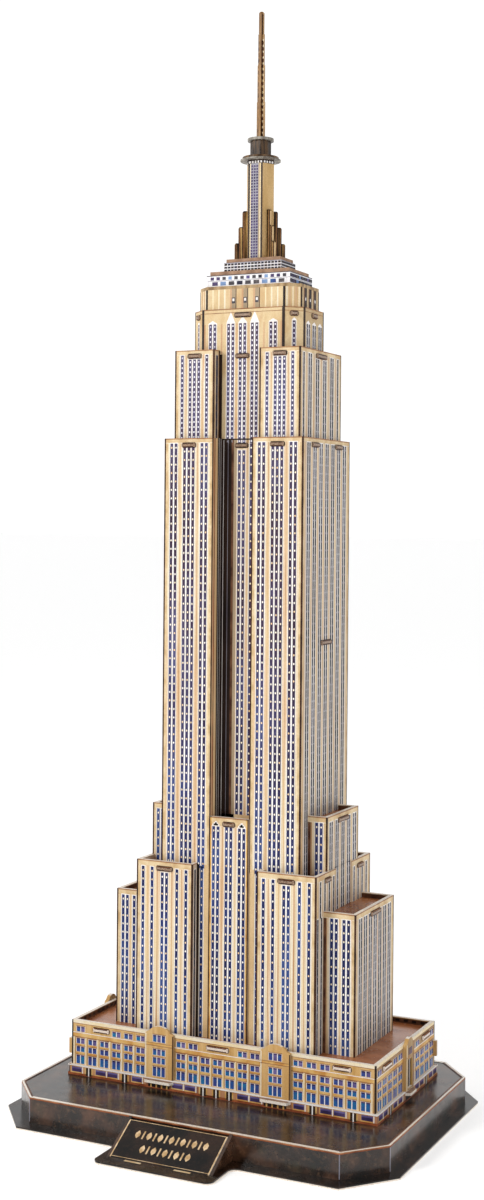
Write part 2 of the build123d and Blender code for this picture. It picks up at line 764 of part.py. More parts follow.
def podium_nodes():
    wall = podium_front_right_wall()
    band = street_band_front_right()
    return {
        "podium_front_right_wall": wall,
        "podium_back_left_wall": turn_half(wall),
        "street_band_front_right": band,
        "street_band_back_left": turn_half(band),
        "street_portals": street_portals(),
        "end_portals": end_portals(),
        "street_canopies": street_canopies(),
        "podium_roof": podium_roof(),
        "podium_ribs": podium_ribs(),
    }


def setback_nodes():
    wing = right_wing_wall()
    wing_roof = right_wing_roof()
    block_wall = front_right_block_wall()
    upper_wing = right_upper_wing_wall()
    upper_roof = right_upper_wing_roof()
    centre = front_centre_wall()
    centre_roof = front_centre_roof()
    return {
        "right_wing_wall": wing,
        "left_wing_wall": flip_x(wing),
        "wing_roofs": [wing_roof, flip_x(wing_roof)],
        "front_right_block_wall": block_wall,
        "front_left_block_wall": flip_x(block_wall),
        "back_right_block_wall": flip_y(block_wall),
        "back_left_block_wall": turn_half(block_wall),
        "setback_plate": setback_plate(),
        "right_upper_wing_wall": upper_wing,
        "left_upper_wing_wall": flip_x(upper_wing),
        "upper_wing_roofs": [upper_roof, flip_x(upper_roof)],
        "front_centre_wall": centre,
        "back_centre_wall": flip_y(centre),
        "centre_roofs": [centre_roof, flip_y(centre_roof)],
    }


def shaft_nodes():
    shaft = shaft_right_wall()
    recess = shaft_front_recess()
    upper = upper_right_wall()
    return {
        "shaft_right_wall": shaft,
        "shaft_left_wall": flip_x(shaft),
        "shaft_front_recess": recess,
        "shaft_back_recess": flip_y(recess),
        "shaft_middle_plate": shaft_middle_plate(),
        "shaft_top_plate": shaft_top_plate(),
        "upper_right_wall": upper,
        "upper_left_wall": flip_x(upper),
        "upper_top_plate": upper_top_plate(),
    }


def crown_nodes():
    front = crown_front_wall()
    right = crown_right_wall()
    return {
        "crown_front_wall": front,
        "crown_back_wall": flip_y(front),
        "crown_right_wall": right,
        "crown_left_wall": flip_x(right),
        "crown_top_plate": crown_top_plate(),
        "attic_wall": attic_wall(),
        "attic_roof": attic_roof(),
        "deck_wall": deck_wall(),
        "deck_roof": deck_roof(),
        "lantern_wall": lantern_wall(),
        "lantern_roof": lantern_roof(),
    }


def mast_nodes():
    front, cross = antenna_boards()
    return {
        "mast_tube": mast_tube(),
        "mast_wings": mast_wings(),
        "mast_collar": disc(COLLAR_R, MAST_TOP, COLLAR_TOP),
        "mast_collar_cap": disc(CAP_R, COLLAR_TOP, CAP_TOP),
        "mast_drum": mast_drum(),
        "mast_head": disc(HEAD_R, DRUM_TOP, HEAD_TOP),
        "antenna_front_board": front,
        "antenna_cross_board": cross,
    }


def write_nodes(nodes, shift_y):
    """One STEP a node, moved back to its place; a list is a group of separate solids."""
    for name, shape in nodes.items():
        solids = shape if isinstance(shape, list) else [shape]
        moved = [Pos(0, shift_y, 0) * solid for solid in solids]
        shape = moved[0] if len(moved) == 1 else Compound(children=moved)
        export_step(shape, f"parts/{name}.step")


def main():
    os.makedirs("parts", exist_ok=True)
    write_nodes(plinth_nodes(), 0)
    for part in (podium_nodes, setback_nodes, shaft_nodes, crown_nodes, mast_nodes):
        write_nodes(part(), TOWER_Y)


main()
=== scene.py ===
import math
import bpy
from mathutils import Matrix, Vector


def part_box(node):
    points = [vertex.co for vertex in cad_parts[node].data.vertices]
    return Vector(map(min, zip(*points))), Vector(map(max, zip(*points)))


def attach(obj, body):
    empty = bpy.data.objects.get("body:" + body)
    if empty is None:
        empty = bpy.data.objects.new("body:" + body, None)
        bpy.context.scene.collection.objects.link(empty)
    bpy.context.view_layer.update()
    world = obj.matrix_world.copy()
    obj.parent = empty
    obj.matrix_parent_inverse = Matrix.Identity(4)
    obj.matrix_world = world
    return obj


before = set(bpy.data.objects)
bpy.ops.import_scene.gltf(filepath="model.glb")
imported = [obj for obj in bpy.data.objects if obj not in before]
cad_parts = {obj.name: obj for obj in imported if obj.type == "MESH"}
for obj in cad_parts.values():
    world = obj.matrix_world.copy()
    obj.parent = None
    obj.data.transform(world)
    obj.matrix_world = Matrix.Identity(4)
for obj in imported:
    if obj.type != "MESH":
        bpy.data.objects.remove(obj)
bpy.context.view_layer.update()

# Looks of the slotted foam-board tower: printed paper faces, pale cut edges, a dark glossy plinth.
# Every printed shape is a thin closed slab that lies on its board's face. Lengths are millimetres
# until a mesh is made; heights are from the ground and plan positions from the tower's axis.

MM = 0.001

# ---- print: how far each layer of ink stands off its board ----
SUNK = 0.02
WASH, BAND, GROUND, PANE, MARK, SLOT_INK = 0.03, 0.04, 0.05, 0.08, 0.11, 0.13

# ---- print: the tower's windows ----
STOREY, UPPER_STOREY = 4.3, 2.55
STRIP, STRIP_PITCH, OUTLINE = 1.6, 2.45, 0.42
DOT_WIDE, DOT_TALL = 0.8, 1.15
CAP_LINE, EDGE_BAND = 0.55, 1.2
FOLD_FRONT, FOLD_SIDE = 0.7, 1.0
PIER_LEAST, PIER_WIDE = 1.6, 2.6

# ---- tabs of the level plates, where they come through the walls ----
BOARD, TAB_PROUD, TAB_CORNER = 2.0, 1.0, 0.8
SHAFT_TAB, SHAFT_END_TAB, SHAFT_END_PLACE = 7.6, 8.8, 15.2
UPPER_TAB, UPPER_CORE_TAB = 7.4, 7.3
CROWN_TAB, CROWN_END_TAB, CROWN_CORNER_TAB = 9.2, 6.6, 4.2
BLOCK_TAB, BLOCK_END_TAB, BLOCK_END_PLACE = 9.0, 7.4, 21.6
RECESS_TAB, CENTRE_TAB, LONG_TAB = 7.0, 6.6, 13.0
PODIUM_TABS = ((66.6, 9.4), (-66.6, 9.4), (0.0, 12.0))
PODIUM_END_TABS = ((27.7, 10.6), (-27.7, 10.6))
TAB_CLEAR = 0.9
SLOT_GAP, SKIN = 0.35, 0.4

# ---- window styles: ground, panes, storey marks and the height of a storey ----
BRIGHT = ("line", "window", "dot", STOREY)
HIGH_UP = ("line", "window", "spark", UPPER_STOREY)
ON_ENDS = ("line", "night", "dusk", STOREY)
# DIM_LIT and PALE_NIGHT are windows dimmed as painted shade, for returns that face into a recess.
DIM_LIT = ("dusk", "night", "umber", STOREY)
PALE_NIGHT = ("line", "night", "umber", STOREY)

# ---- window groups: pitches, and (middle, number of strips) where they are uneven ----
SHAFT_PITCH, SHAFT_END_PITCH = 8.65, 7.75
UPPER_PITCH = 7.0
UPPER_END_GROUPS = ((-22.0, 1), (-14.2, 2), (-4.7, 2), (4.7, 2), (14.2, 2), (22.0, 1))
CROWN_PITCH, CROWN_SIDE, CROWN_END_PITCH = 6.7, 17.0, 7.6
CENTRE_PITCH = 7.2
BLOCK_GROUPS = ((-12.324, 1), (-7.124, 1), (0.0, 2), (7.124, 1), (12.324, 1))
WING_GROUPS, WING_END_PITCH = ((55.4, 2), (61.9, 2)), 6.6
UPPER_WING_GROUPS, UPPER_WING_END_PITCH = ((44.6, 2),), 7.8

# ---- half widths of the front and end faces of the many-sided tiers ----
CROWN_HALF, CROWN_END_HALF = 22.8, 12.3
ATTIC_HALF, ATTIC_END_HALF = 22.0, 11.1
MAST_HALF = 4.1

# ---- deck: each row's colours, pitch, pane width, sill and head ----
DECK_UPPER = ("plum", "plum", "slate", "sky", "slate", "slate", "lilac", "slate", "night", "sky")
DECK_LOWER = ("plum", "sky", "slate", "night", "slate", "slate", "sky", "pane", "slate")
DECK_ROWS = ((DECK_UPPER, 3.4, 1.9, 3.7, 5.3), (DECK_LOWER, 4.7, 3.1, 0.9, 2.8))

# ---- the mast's wings, with each step's reach from the mast and its head, and the antenna ----
WING_THICK, WING_CORNER = 1.5, 0.9
WING_STEPS = ((2.5, 460.3), (4.5, 452.0), (6.45, 443.6))
LATTICE, ANTENNA_TIP = 3.0, 14.0

# ---- podium: pairs of panes, each row's sill, head and ink, and the portals ----
PAIR_PITCH, MIDDLE_PITCH = 7.05, 6.83
FIRST_PAIR, FIRST_END_PAIR = 43.6, 8.9
PANE_WIDE, PANE_GAP = 2.1, 0.5
ROWS = ((19.2, 23.6, "pane"), (25.4, 28.1, "pane"), (29.6, 32.3, "lilac"), (35.7, 38.3, "lilac"))
PORTAL_ROWS = ((19.9, 24.6, "pane"), (26.3, 29.3, "lilac"), (30.5, 33.5, "lilac"), (37.1, 40.6, "lilac"))
CORNICE = (33.2, 35.0)
STREET_TOP = 18.8
PORTAL_MIDDLE, PORTAL_HALF, END_PORTAL_HALF = 32.1, 7.95, 5.2
PORTAL_FOOT, PORTAL_BAND, PORTAL_TOP = 18.9, (35.35, 36.3), 41.0
DOORWAY, DOORWAY_HALF = (19.9, 33.9), 3.1

# ---- street: each shop's two sides, the middles of doors, and heights ----
SHOPS_MID = ((-24.6, -18.6), (-17.6, -11.6), (11.6, 17.6), (18.6, 24.6))
DOORS_MID = (-7.2, 0.0, 7.2)
SHOPS_SIDE = ((41.9, 47.7), (56.0, 62.0), (63.0, 69.0), (77.2, 83.2))
DOORS_SIDE = (51.9, 73.1)
SHOPS_END, SHOP_WIDE, DOOR_END = (9.0, 16.2, 29.5, 36.0), 5.6, 25.6
SHOP_FOOT, SHOP_SILL, DOOR_FOOT, SHOP_HEAD = 14.7, 15.3, 13.8, 18.1
ARCADE, ARCADE_PITCH = (26.0, 38.2), 3.0

# ---- plinth and nameplate ----
RIM_CUT_X, RIM_CUT_Y = 17.2, 19.5
RIM_PALE, MITRE = 1.1, 0.41
PLATE_RUN, FRIEZE_PITCH = 20.0, 3.0

# ---- materials ----
FOAM = (0.80, 0.70, 0.60)
TOOTH = 0.00002

# ---- studio: places in metres, the camera's sensor and lens in millimetres ----
CAMERA_PLACE = (0.37604, -0.79323, 0.29809)
CAMERA_TURN, CAMERA_PITCH, CAMERA_ROLL = (math.radians(a) for a in (25.83, -0.03, 0.469))
SENSOR, LENS, SHIFT = 36.0, 51.352, (0.0054, -0.0621)
WORLD_DIM, WORLD_BRIGHT = 0.45, 1.08
FLOOR, FLOOR_GLOW = 40.0, 0.32

FRONT, RIGHT, BACK, LEFT = 0, 90, 180, 270


# ------------------------------------------------------------------ measures from the frame

def span(node):
    """A CAD node's box in millimetres: (x0, x1), (y0, y1) from the tower's axis, (z0, z1)."""
    low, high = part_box(node)
    return tuple((low[k] / MM - AXIS[k], high[k] / MM - AXIS[k]) for k in range(3))


def head_of(node):
    return span(node)[2][1]


def tower_axis():
    low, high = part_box("shaft_right_wall")
    return 0.0, (low[1] + high[1]) / 2 / MM, 0.0


AXIS = tower_axis()


class Plane:
    """A board's face: a place on it is u along, v up and some depth out, in millimetres."""

    def __init__(self, origin, along, up):
        self.origin = Vector(origin)
        self.along = Vector(along).normalized()
        self.up = Vector(up).normalized()
        self.out = self.along.cross(self.up)

    def lifted(self, depth):
        """The parallel plane that far out."""
        return Plane(self.origin + self.out * depth, self.along, self.up)

    def at(self, u, v, depth):
        return (self.origin + self.along * u + self.up * v + self.out * depth) * MM


def side(turn, distance):
    """The upright face that looks out at that turn from the front, that far from the tower's axis."""
    angle = math.radians(turn)
    along = Vector((math.cos(angle), math.sin(angle), 0))
    out = Vector((math.sin(angle), -math.cos(angle), 0))
    return Plane(Vector(AXIS) + out * distance, along, (0, 0, 1))


def fronts(distance):
    return [side(turn, distance) for turn in (FRONT, BACK)]


def ends(distance):
    return [side(turn, distance) for turn in (RIGHT, LEFT)]


class Ink:
    """One colour of print on one part of the tower, gathered as closed slabs."""

    def __init__(self):
        self.points = []
        self.faces = []

    def shape(self, plane, outline, height):
        """A flat shape; its outline runs anticlockwise as seen from outside."""
        count = len(outline)
        first = len(self.points)
        self.points += [plane.at(u, v, height) for u, v in outline]
        self.points += [plane.at(u, v, -SUNK) for u, v in outline]
        self.faces.append([first + k for k in range(count)])
        self.faces.append([first + count + k for k in reversed(range(count))])
        for k in range(count):
            n = (k + 1) % count
            self.faces.append([first + k, first + count + k, first + count + n, first + n])

    def bar(self, plane, near, far, v0, v1, height):
        """An upright rectangle; its two ends may come in either order."""
        u0, u1 = sorted((near, far))
        self.shape(plane, [(u0, v0), (u1, v0), (u1, v1), (u0, v1)], height)

    def dot(self, plane, u, v, wide, tall, height):
        """A small upright lozenge with cut-off points."""
        w, t = wide / 2, tall / 2
        outline = [(u + w, v - t / 3), (u + w, v + t / 3), (u, v + t)]
        outline += [(u - w, v + t / 3), (u - w, v - t / 3), (u, v - t)]
        self.shape(plane, outline, height)


class Print:
    """All the print of one region: an Ink for each colour, made into one piece each."""

    def __init__(self, region, slot="facade_print"):
        self.region = region
        self.slot = slot
        self.inks = {}

    def __getitem__(self, colour):
        return self.inks.setdefault(colour, Ink())

    def finish(self):
        for colour, ink in self.inks.items():
            mesh = bpy.data.meshes.new(f"{self.region}_{colour}")
            mesh.from_pydata(ink.points, [], ink.faces)
            mesh.materials.append(INKS[colour])
            piece = bpy.data.objects.new(mesh.name, mesh)
            bpy.context.scene.collection.objects.link(piece)
            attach(piece, "root")


# ------------------------------------------------------------------ materials

class Paint:
    """A material's nodes. Each method adds nodes and returns the socket that carries the result."""

    def __init__(self, name, roughness=0.45, coat=0.0, gloss=0.15):
        self.material = bpy.data.materials.new(name)
        self.material.use_nodes = True
        self.tree = self.material.node_tree
        self.shader = self.tree.nodes["Principled BSDF"]
        self.roughness = roughness
        self.shader.inputs["Coat Weight"].default_value = coat
        self.shader.inputs["Coat Roughness"].default_value = 0.12
        self.shader.inputs["Specular IOR Level"].default_value = gloss
        self.place = self.node("ShaderNodeTexCoord").outputs["Object"]

    def node(self, kind, **settings):
        made = self.tree.nodes.new(kind)
        for name, value in settings.items():
            setattr(made, name, value)
        return made

    def put(self, socket, value):
        if isinstance(value, bpy.types.NodeSocket):
            self.tree.links.new(value, socket)
        elif isinstance(value, tuple) and len(value) == 3 and len(socket.default_value) == 4:
            socket.default_value = (*value, 1)
        else:
            socket.default_value = value

    def math(self, operation, a, b=0.0):
        made = self.node("ShaderNodeMath", operation=operation)
        self.put(made.inputs[0], a)
        self.put(made.inputs[1], b)
        return made.outputs[0]

    def stretch(self, scale, shift=(0.0, 0.0, 0.0)):
        made = self.node("ShaderNodeMapping")
        self.put(made.inputs["Vector"], self.place)
        made.inputs["Location"].default_value = shift
        made.inputs["Scale"].default_value = scale if isinstance(scale, tuple) else (scale,) * 3
        return made.outputs[0]

    def noise(self, scale, detail=2.0, shift=(0.0, 0.0, 0.0)):
        """Cloudy noise, with a number of blobs per metre: one number, or one for each axis."""
        made = self.node("ShaderNodeTexNoise")
        self.put(made.inputs["Vector"], self.stretch(scale, shift))
        made.inputs["Scale"].default_value = 1.0
        made.inputs["Detail"].default_value = detail
        return made.outputs["Fac"]

    def ramp(self, value, stops):
        made = self.node("ShaderNodeValToRGB")
        self.put(made.inputs[0], value)
        elements = made.color_ramp.elements
        while len(elements) < len(stops):
            elements.new(0.5)
        for element, (position, colour) in zip(elements, stops):
            element.position = position
            element.color = (*colour, 1)
        return made.outputs[0]

    def between(self, value, low, high, to_low=0.0, to_high=1.0):
        made = self.node("ShaderNodeMapRange")
        for socket, number in zip(made.inputs, (value, low, high, to_low, to_high)):
            self.put(socket, number)
        return made.outputs[0]

    def mix(self, factor, a, b, blend="MIX"):
        made = self.node("ShaderNodeMix", data_type="RGBA", blend_type=blend)
        self.put(made.inputs[0], factor)
        self.put(made.inputs[6], a)
        self.put(made.inputs[7], b)
        return made.outputs[2]

    def axis(self, vector, name):
        made = self.node("ShaderNodeSeparateXYZ")
        self.put(made.inputs[0], vector)
        return made.outputs[name]

    def height(self):
        return self.axis(self.place, "Z")

    def facing(self, name, least=0.9):
        """1 where the surface looks along that axis, either way, and 0 elsewhere."""
        normal = self.node("ShaderNodeNewGeometry").outputs["Normal"]
        size = self.math("ABSOLUTE", self.axis(normal, name))
        return self.math("GREATER_THAN", size, least)

    def grain(self, colour, strength=0.08, scale=1500.0):
        """Fine mottling of ink on paper."""
        fine = self.noise(scale, 3.0)
        shade = self.between(fine, 0.3, 0.7, 1.0 - strength, 1.0 + strength * 0.6)
        return self.mix(1.0, colour, self.grey(shade), "MULTIPLY")

    def grey(self, value):
        made = self.node("ShaderNodeCombineColor")
        for socket in made.inputs:
            self.put(socket, value)
        return made.outputs[0]

    def bump(self, value, distance):
        """Relief of that many metres, worked out from a value between 0 and 1."""
        made = self.node("ShaderNodeBump")
        made.inputs["Strength"].default_value = 0.6
        made.inputs["Distance"].default_value = distance
        self.put(made.inputs["Height"], value)
        self.put(self.shader.inputs["Normal"], made.outputs[0])

    def finish(self, colour):
        """Sets the colour, and gives the paper its slight tooth and uneven gloss."""
        self.put(self.shader.inputs["Base Color"], colour)
        uneven = self.noise(160.0, 3.0)
        level = self.between(uneven, 0.3, 0.7, self.roughness - 0.05, self.roughness + 0.07)
        self.put(self.shader.inputs["Roughness"], level)
        self.bump(self.noise(2600.0, 2.0), TOOTH)
        return self.material


def foam_colour(paint):
    """A cut foam edge: pale, with fine open cells."""
    cells = paint.noise(2400.0, 1.0)
    return paint.ramp(cells, [(0.30, (0.55, 0.47, 0.38)), (0.45, FOAM), (0.7, (0.90, 0.85, 0.77))])


def facade_paper(name, tints, end_shade, streak=380.0, along=14.0):
    """Printed stone: soft upright streaks of four tints, with a darker tint painted on the two ends as
    shade.
    """
    tan, cream, pale, warm = tints
    paint = Paint(name, 0.46)
    streaks = paint.noise((streak, streak, along), 3.0)
    colour = paint.ramp(streaks, [(0.30, tan), (0.44, cream), (0.56, pale), (0.70, warm)])
    washes = paint.noise((22.0, 22.0, 9.0), 2.0, (3.0, 1.0, 7.0))
    colour = paint.mix(paint.between(washes, 0.48, 0.66, 0.0, 0.7), colour, warm)
    # Painted shade: faces that look along X, the two ends, are mixed towards the darker end colour.
    shaded_ends = paint.math("MULTIPLY", paint.facing("X", 0.7), 0.55)
    colour = paint.mix(shaded_ends, colour, end_shade)
    colour = paint.grain(colour)
    colour = paint.mix(paint.facing("Z"), colour, foam_colour(paint))
    return paint.finish(colour)


def roof_paper(name, edge_dark, edge_pale):
    """Copper-brown glossy print with faint darker plating, and cut edges of their own colour."""
    paint = Paint(name, 0.24, 0.1, 0.3)
    clouds = paint.noise((30.0, 90.0, 30.0), 4.0)
    stops = [(0.3, (0.19, 0.055, 0.020)), (0.5, (0.36, 0.125, 0.045)), (0.72, (0.48, 0.20, 0.085))]
    colour = paint.grain(paint.ramp(clouds, stops), 0.12, 900.0)
    cells = paint.noise(2400.0, 1.0)
    edge = paint.ramp(cells, [(0.35, edge_dark), (0.6, edge_pale)])
    return paint.finish(paint.mix(paint.facing("Z"), edge, colour))


def trim_paper():
    """The dull brown edge of the small roof plates at the top."""
    paint = Paint("roof_trim", 0.42)
    clouds = paint.noise(250.0, 3.0)
    colour = paint.ramp(clouds, [(0.3, (0.19, 0.10, 0.055)), (0.7, (0.38, 0.23, 0.14))])
    return paint.finish(paint.grain(colour))


def marble_colour(paint):
    """Near-black laminated marble, mottled with brown and a little green."""
    clouds = paint.noise(70.0, 6.0)
    stops = [(0.36, (0.006, 0.004, 0.003)), (0.5, (0.026, 0.013, 0.008)), (0.66, (0.090, 0.040, 0.021))]
    colour = paint.ramp(clouds, stops)
    flecks = paint.noise(420.0, 3.0, (4.0, 2.0, 1.0))
    colour = paint.mix(paint.between(flecks, 0.55, 0.72, 0.0, 0.6), colour, (0.12, 0.065, 0.035))
    green = paint.noise(90.0, 2.0, (9.0, 4.0, 6.0))
    colour = paint.mix(paint.between(green, 0.58, 0.75, 0.0, 0.4), colour, (0.030, 0.035, 0.018))
    return paint.grain(colour, 0.2, 700.0)


def marble(name, edge_axis=None, strength=1.0, gloss=0.45):
    """The marble print, darker below full strength; its cut edges are foam where an axis is given."""
    paint = Paint(name, 0.22, 0.1, gloss)
    colour = paint.mix(1.0, marble_colour(paint), (strength, strength, strength), "MULTIPLY")
    if edge_axis:
        colour = paint.mix(paint.facing(edge_axis), colour, foam_colour(paint))
    return paint.finish(colour)


def flange_marble():
    """Marble print whose cut edge shows a pale line along its foot."""
    paint = Paint("marble_flange", 0.22, 0.04, 0.3)
    foot = paint.between(paint.height(), 0.0006, 0.0008, 1.0, 0.0)
    upright = paint.math("SUBTRACT", 1.0, paint.facing("Z", 0.5))
    printed = paint.mix(1.0, marble_colour(paint), (0.4, 0.4, 0.4), "MULTIPLY")
    colour = paint.mix(paint.math("MULTIPLY", foot, upright), printed, foam_colour(paint))
    return paint.finish(colour)


def canopy_paper():
    """A pale cut edge under a brown printed top."""
    paint = Paint("canopy_paper", 0.5)
    clouds = paint.noise(300.0, 2.0)
    printed = paint.ramp(clouds, [(0.35, (0.20, 0.11, 0.07)), (0.65, (0.38, 0.25, 0.17))])
    return paint.finish(paint.mix(paint.facing("Z"), foam_colour(paint), printed))


def bare_foam():
    paint = Paint("bare_foam", 0.7)
    return paint.finish(foam_colour(paint))


def bronze(name, dark, mid, light, across):
    """Brown-gold print with upright brushed streaks."""
    paint = Paint(name, 0.38)
    streaks = paint.noise((across, across, 40.0), 4.0)
    colour = paint.ramp(streaks, [(0.36, dark), (0.5, mid), (0.64, light)])
    washes = paint.noise(60.0, 2.0)
    colour = paint.mix(paint.between(washes, 0.4, 0.7, 0.0, 0.5), colour, dark)
    return paint.finish(paint.grain(colour, 0.12))


def flat_ink(name, tints, blobs):
    """Ink whose tint wanders through the given ones, blob by blob."""
    paint = Paint(name, 0.42)
    step = 0.3 / (len(tints) - 1)
    stops = [(0.35 + step * k, tint) for k, tint in enumerate(tints)]
    colour = paint.ramp(paint.noise(blobs, 2.0), stops)
    return paint.finish(paint.grain(colour, 0.1))


def window_ink():
    """Dark panes: navy and blue low on the tower, violet and plum higher up."""
    paint = Paint("ink_window", 0.36)
    wander = paint.noise((45.0, 45.0, 16.0), 3.0)
    low = [(0.32, (0.012, 0.012, 0.050)), (0.5, (0.018, 0.028, 0.12)), (0.66, (0.045, 0.090, 0.27))]
    high = [(0.32, (0.040, 0.020, 0.034)), (0.5, (0.055, 0.034, 0.070)), (0.68, (0.085, 0.078, 0.17))]
    rise = paint.between(paint.height(), 0.12, 0.24)
    colour = paint.mix(rise, paint.ramp(wander, low), paint.ramp(wander, high))
    panes = paint.noise((500.0, 500.0, 260.0), 1.0)
    colour = paint.mix(paint.between(panes, 0.52, 0.75, 0.0, 0.4), colour, (0.10, 0.10, 0.20))
    return paint.finish(paint.grain(colour, 0.2))


def make_inks():
    """Every ink by name, from its tints and its blobs per metre, even or along each axis."""
    fine, coarse, upright = 300.0, 150.0, (110.0, 110.0, 18.0)
    tints = {
        "line": (upright, (0.76, 0.71, 0.67), (0.90, 0.87, 0.85)),
        "dot": (fine, (0.80, 0.55, 0.30), (0.85, 0.76, 0.58), (0.88, 0.85, 0.82)),
        "spark": (fine, (0.48, 0.46, 0.62), (0.74, 0.73, 0.82), (0.86, 0.85, 0.88)),
        "night": (upright, (0.005, 0.004, 0.012), (0.022, 0.020, 0.050)),
        "pier": (upright, (0.48, 0.27, 0.13), (0.58, 0.36, 0.21), (0.66, 0.46, 0.25)),
        "honey": (upright, (0.60, 0.39, 0.19), (0.74, 0.54, 0.30)),
        "glow": (upright, (0.80, 0.71, 0.55), (0.78, 0.63, 0.37)),
        "parapet": (coarse, (0.54, 0.36, 0.18), (0.65, 0.48, 0.27), (0.72, 0.57, 0.36)),
        "gold": (coarse, (0.52, 0.24, 0.06), (0.62, 0.36, 0.11), (0.70, 0.47, 0.19)),
        "rust": (coarse, (0.16, 0.035, 0.012), (0.36, 0.10, 0.035)),
        "umber": (coarse, (0.060, 0.022, 0.012), (0.17, 0.075, 0.038)),
        "shade": (upright, (0.010, 0.005, 0.005), (0.040, 0.021, 0.013)),
        "fold": (coarse, (0.020, 0.007, 0.004), (0.075, 0.026, 0.012)),
        "edge": (coarse, (0.24, 0.10, 0.04), (0.42, 0.22, 0.10)),
        "niche": (upright, (0.30, 0.23, 0.15), (0.46, 0.35, 0.22)),
        "pane": (coarse, (0.040, 0.050, 0.21), (0.022, 0.080, 0.28), (0.012, 0.15, 0.32)),
        "lilac": (coarse, (0.085, 0.065, 0.19), (0.16, 0.13, 0.31)),
        "plum": (coarse, (0.025, 0.016, 0.060), (0.075, 0.048, 0.145)),
        "sky": (coarse, (0.10, 0.18, 0.40), (0.22, 0.34, 0.58)),
        "slate": (fine, (0.030, 0.028, 0.040), (0.11, 0.095, 0.10)),
        "dusk": (upright, (0.20, 0.19, 0.24), (0.34, 0.33, 0.38)),
        "gilt": (fine, (0.50, 0.32, 0.15), (0.84, 0.62, 0.38)),
    }
    inks = {name: flat_ink(f"ink_{name}", colours, blobs) for name, (blobs, *colours) in tints.items()}
    inks["window"] = window_ink()
    return inks


def dress(nodes, material):
    for name in nodes:
        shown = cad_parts[name]
        if not shown.material_slots:
            shown.data.materials.append(material)
        for place in shown.material_slots:
            place.material = material


def dress_walls():
    cream_tints = ((0.58, 0.40, 0.22), (0.70, 0.57, 0.38), (0.78, 0.68, 0.51), (0.66, 0.44, 0.26))
    crown_tints = ((0.56, 0.37, 0.18), (0.63, 0.46, 0.25), (0.68, 0.53, 0.31), (0.60, 0.41, 0.22))
    stone_tints = ((0.74, 0.72, 0.76), (0.86, 0.86, 0.88), (0.92, 0.92, 0.93), (0.78, 0.70, 0.72))
    sides = ("left", "right")
    walls = [f"{tier}_{hand}_wall" for tier in ("shaft", "upper") for hand in sides]
    walls += [f"{hand}_{wing}_wall" for hand in sides for wing in ("wing", "upper_wing")]
    walls += [f"{end}_{hand}_block_wall" for end in ("front", "back") for hand in sides]
    walls += [f"{end}_centre_wall" for end in ("front", "back")]
    walls += [f"shaft_{end}_recess" for end in ("front", "back")]
    dress(walls, facade_paper("facade_cream", cream_tints, (0.50, 0.42, 0.35)))
    crown = [f"crown_{way}_wall" for way in ("front", "back", "left", "right")] + ["attic_wall"]
    dress(crown, facade_paper("facade_crown", crown_tints, (0.40, 0.28, 0.15), 150.0, 60.0))
    stone = facade_paper("deck_white", stone_tints, (0.72, 0.74, 0.80), 600.0)
    dress(["deck_wall", "lantern_wall"], stone)


def dress_podium():
    gold_tints = ((0.48, 0.27, 0.08), (0.58, 0.35, 0.13), (0.64, 0.43, 0.19), (0.54, 0.30, 0.11))
    street_tints = ((0.22, 0.09, 0.05), (0.42, 0.19, 0.09), (0.62, 0.33, 0.15), (0.32, 0.13, 0.08))
    gold = facade_paper("facade_gold", gold_tints, (0.20, 0.145, 0.095))
    dress(["podium_front_right_wall", "podium_back_left_wall", "street_portals", "end_portals"], gold)
    street = facade_paper("street_red", street_tints, (0.28, 0.17, 0.12), 300.0)
    dress(["street_band_front_right", "street_band_back_left"], street)
    dress(["podium_roof"], roof_paper("podium_copper", (0.55, 0.42, 0.35), FOAM))
    dress(["street_canopies"], canopy_paper())
    dress(["base_ribs", "podium_ribs"], bare_foam())


def dress_roofs():
    roofs = ["wing_roofs", "setback_plate", "upper_wing_roofs", "centre_roofs"]
    roofs += ["shaft_top_plate", "upper_top_plate", "crown_top_plate", "shaft_middle_plate"]
    # The tower's tab ends are the only cut edges of these plates that show; their foam is darkened to
    # brown here as painted shade, while the podium's stay pale.
    dress(roofs, roof_paper("roof_copper", (0.13, 0.070, 0.040), (0.33, 0.22, 0.145)))
    dress(["deck_roof", "lantern_roof"], trim_paper())


def dress_plinth():
    dress(["base_top_plate"], marble("marble_top"))
    rims = ["base_front_wall", "base_back_wall", "base_left_surround", "base_right_surround"]
    dress(rims, marble("marble_wall", "Z"))
    dress(["base_flange"], flange_marble())
    dress(["nameplate_board"], marble("marble_plate", "X", 0.3, 0.2))
    dress(["nameplate_cheeks"], marble("marble_cheek"))


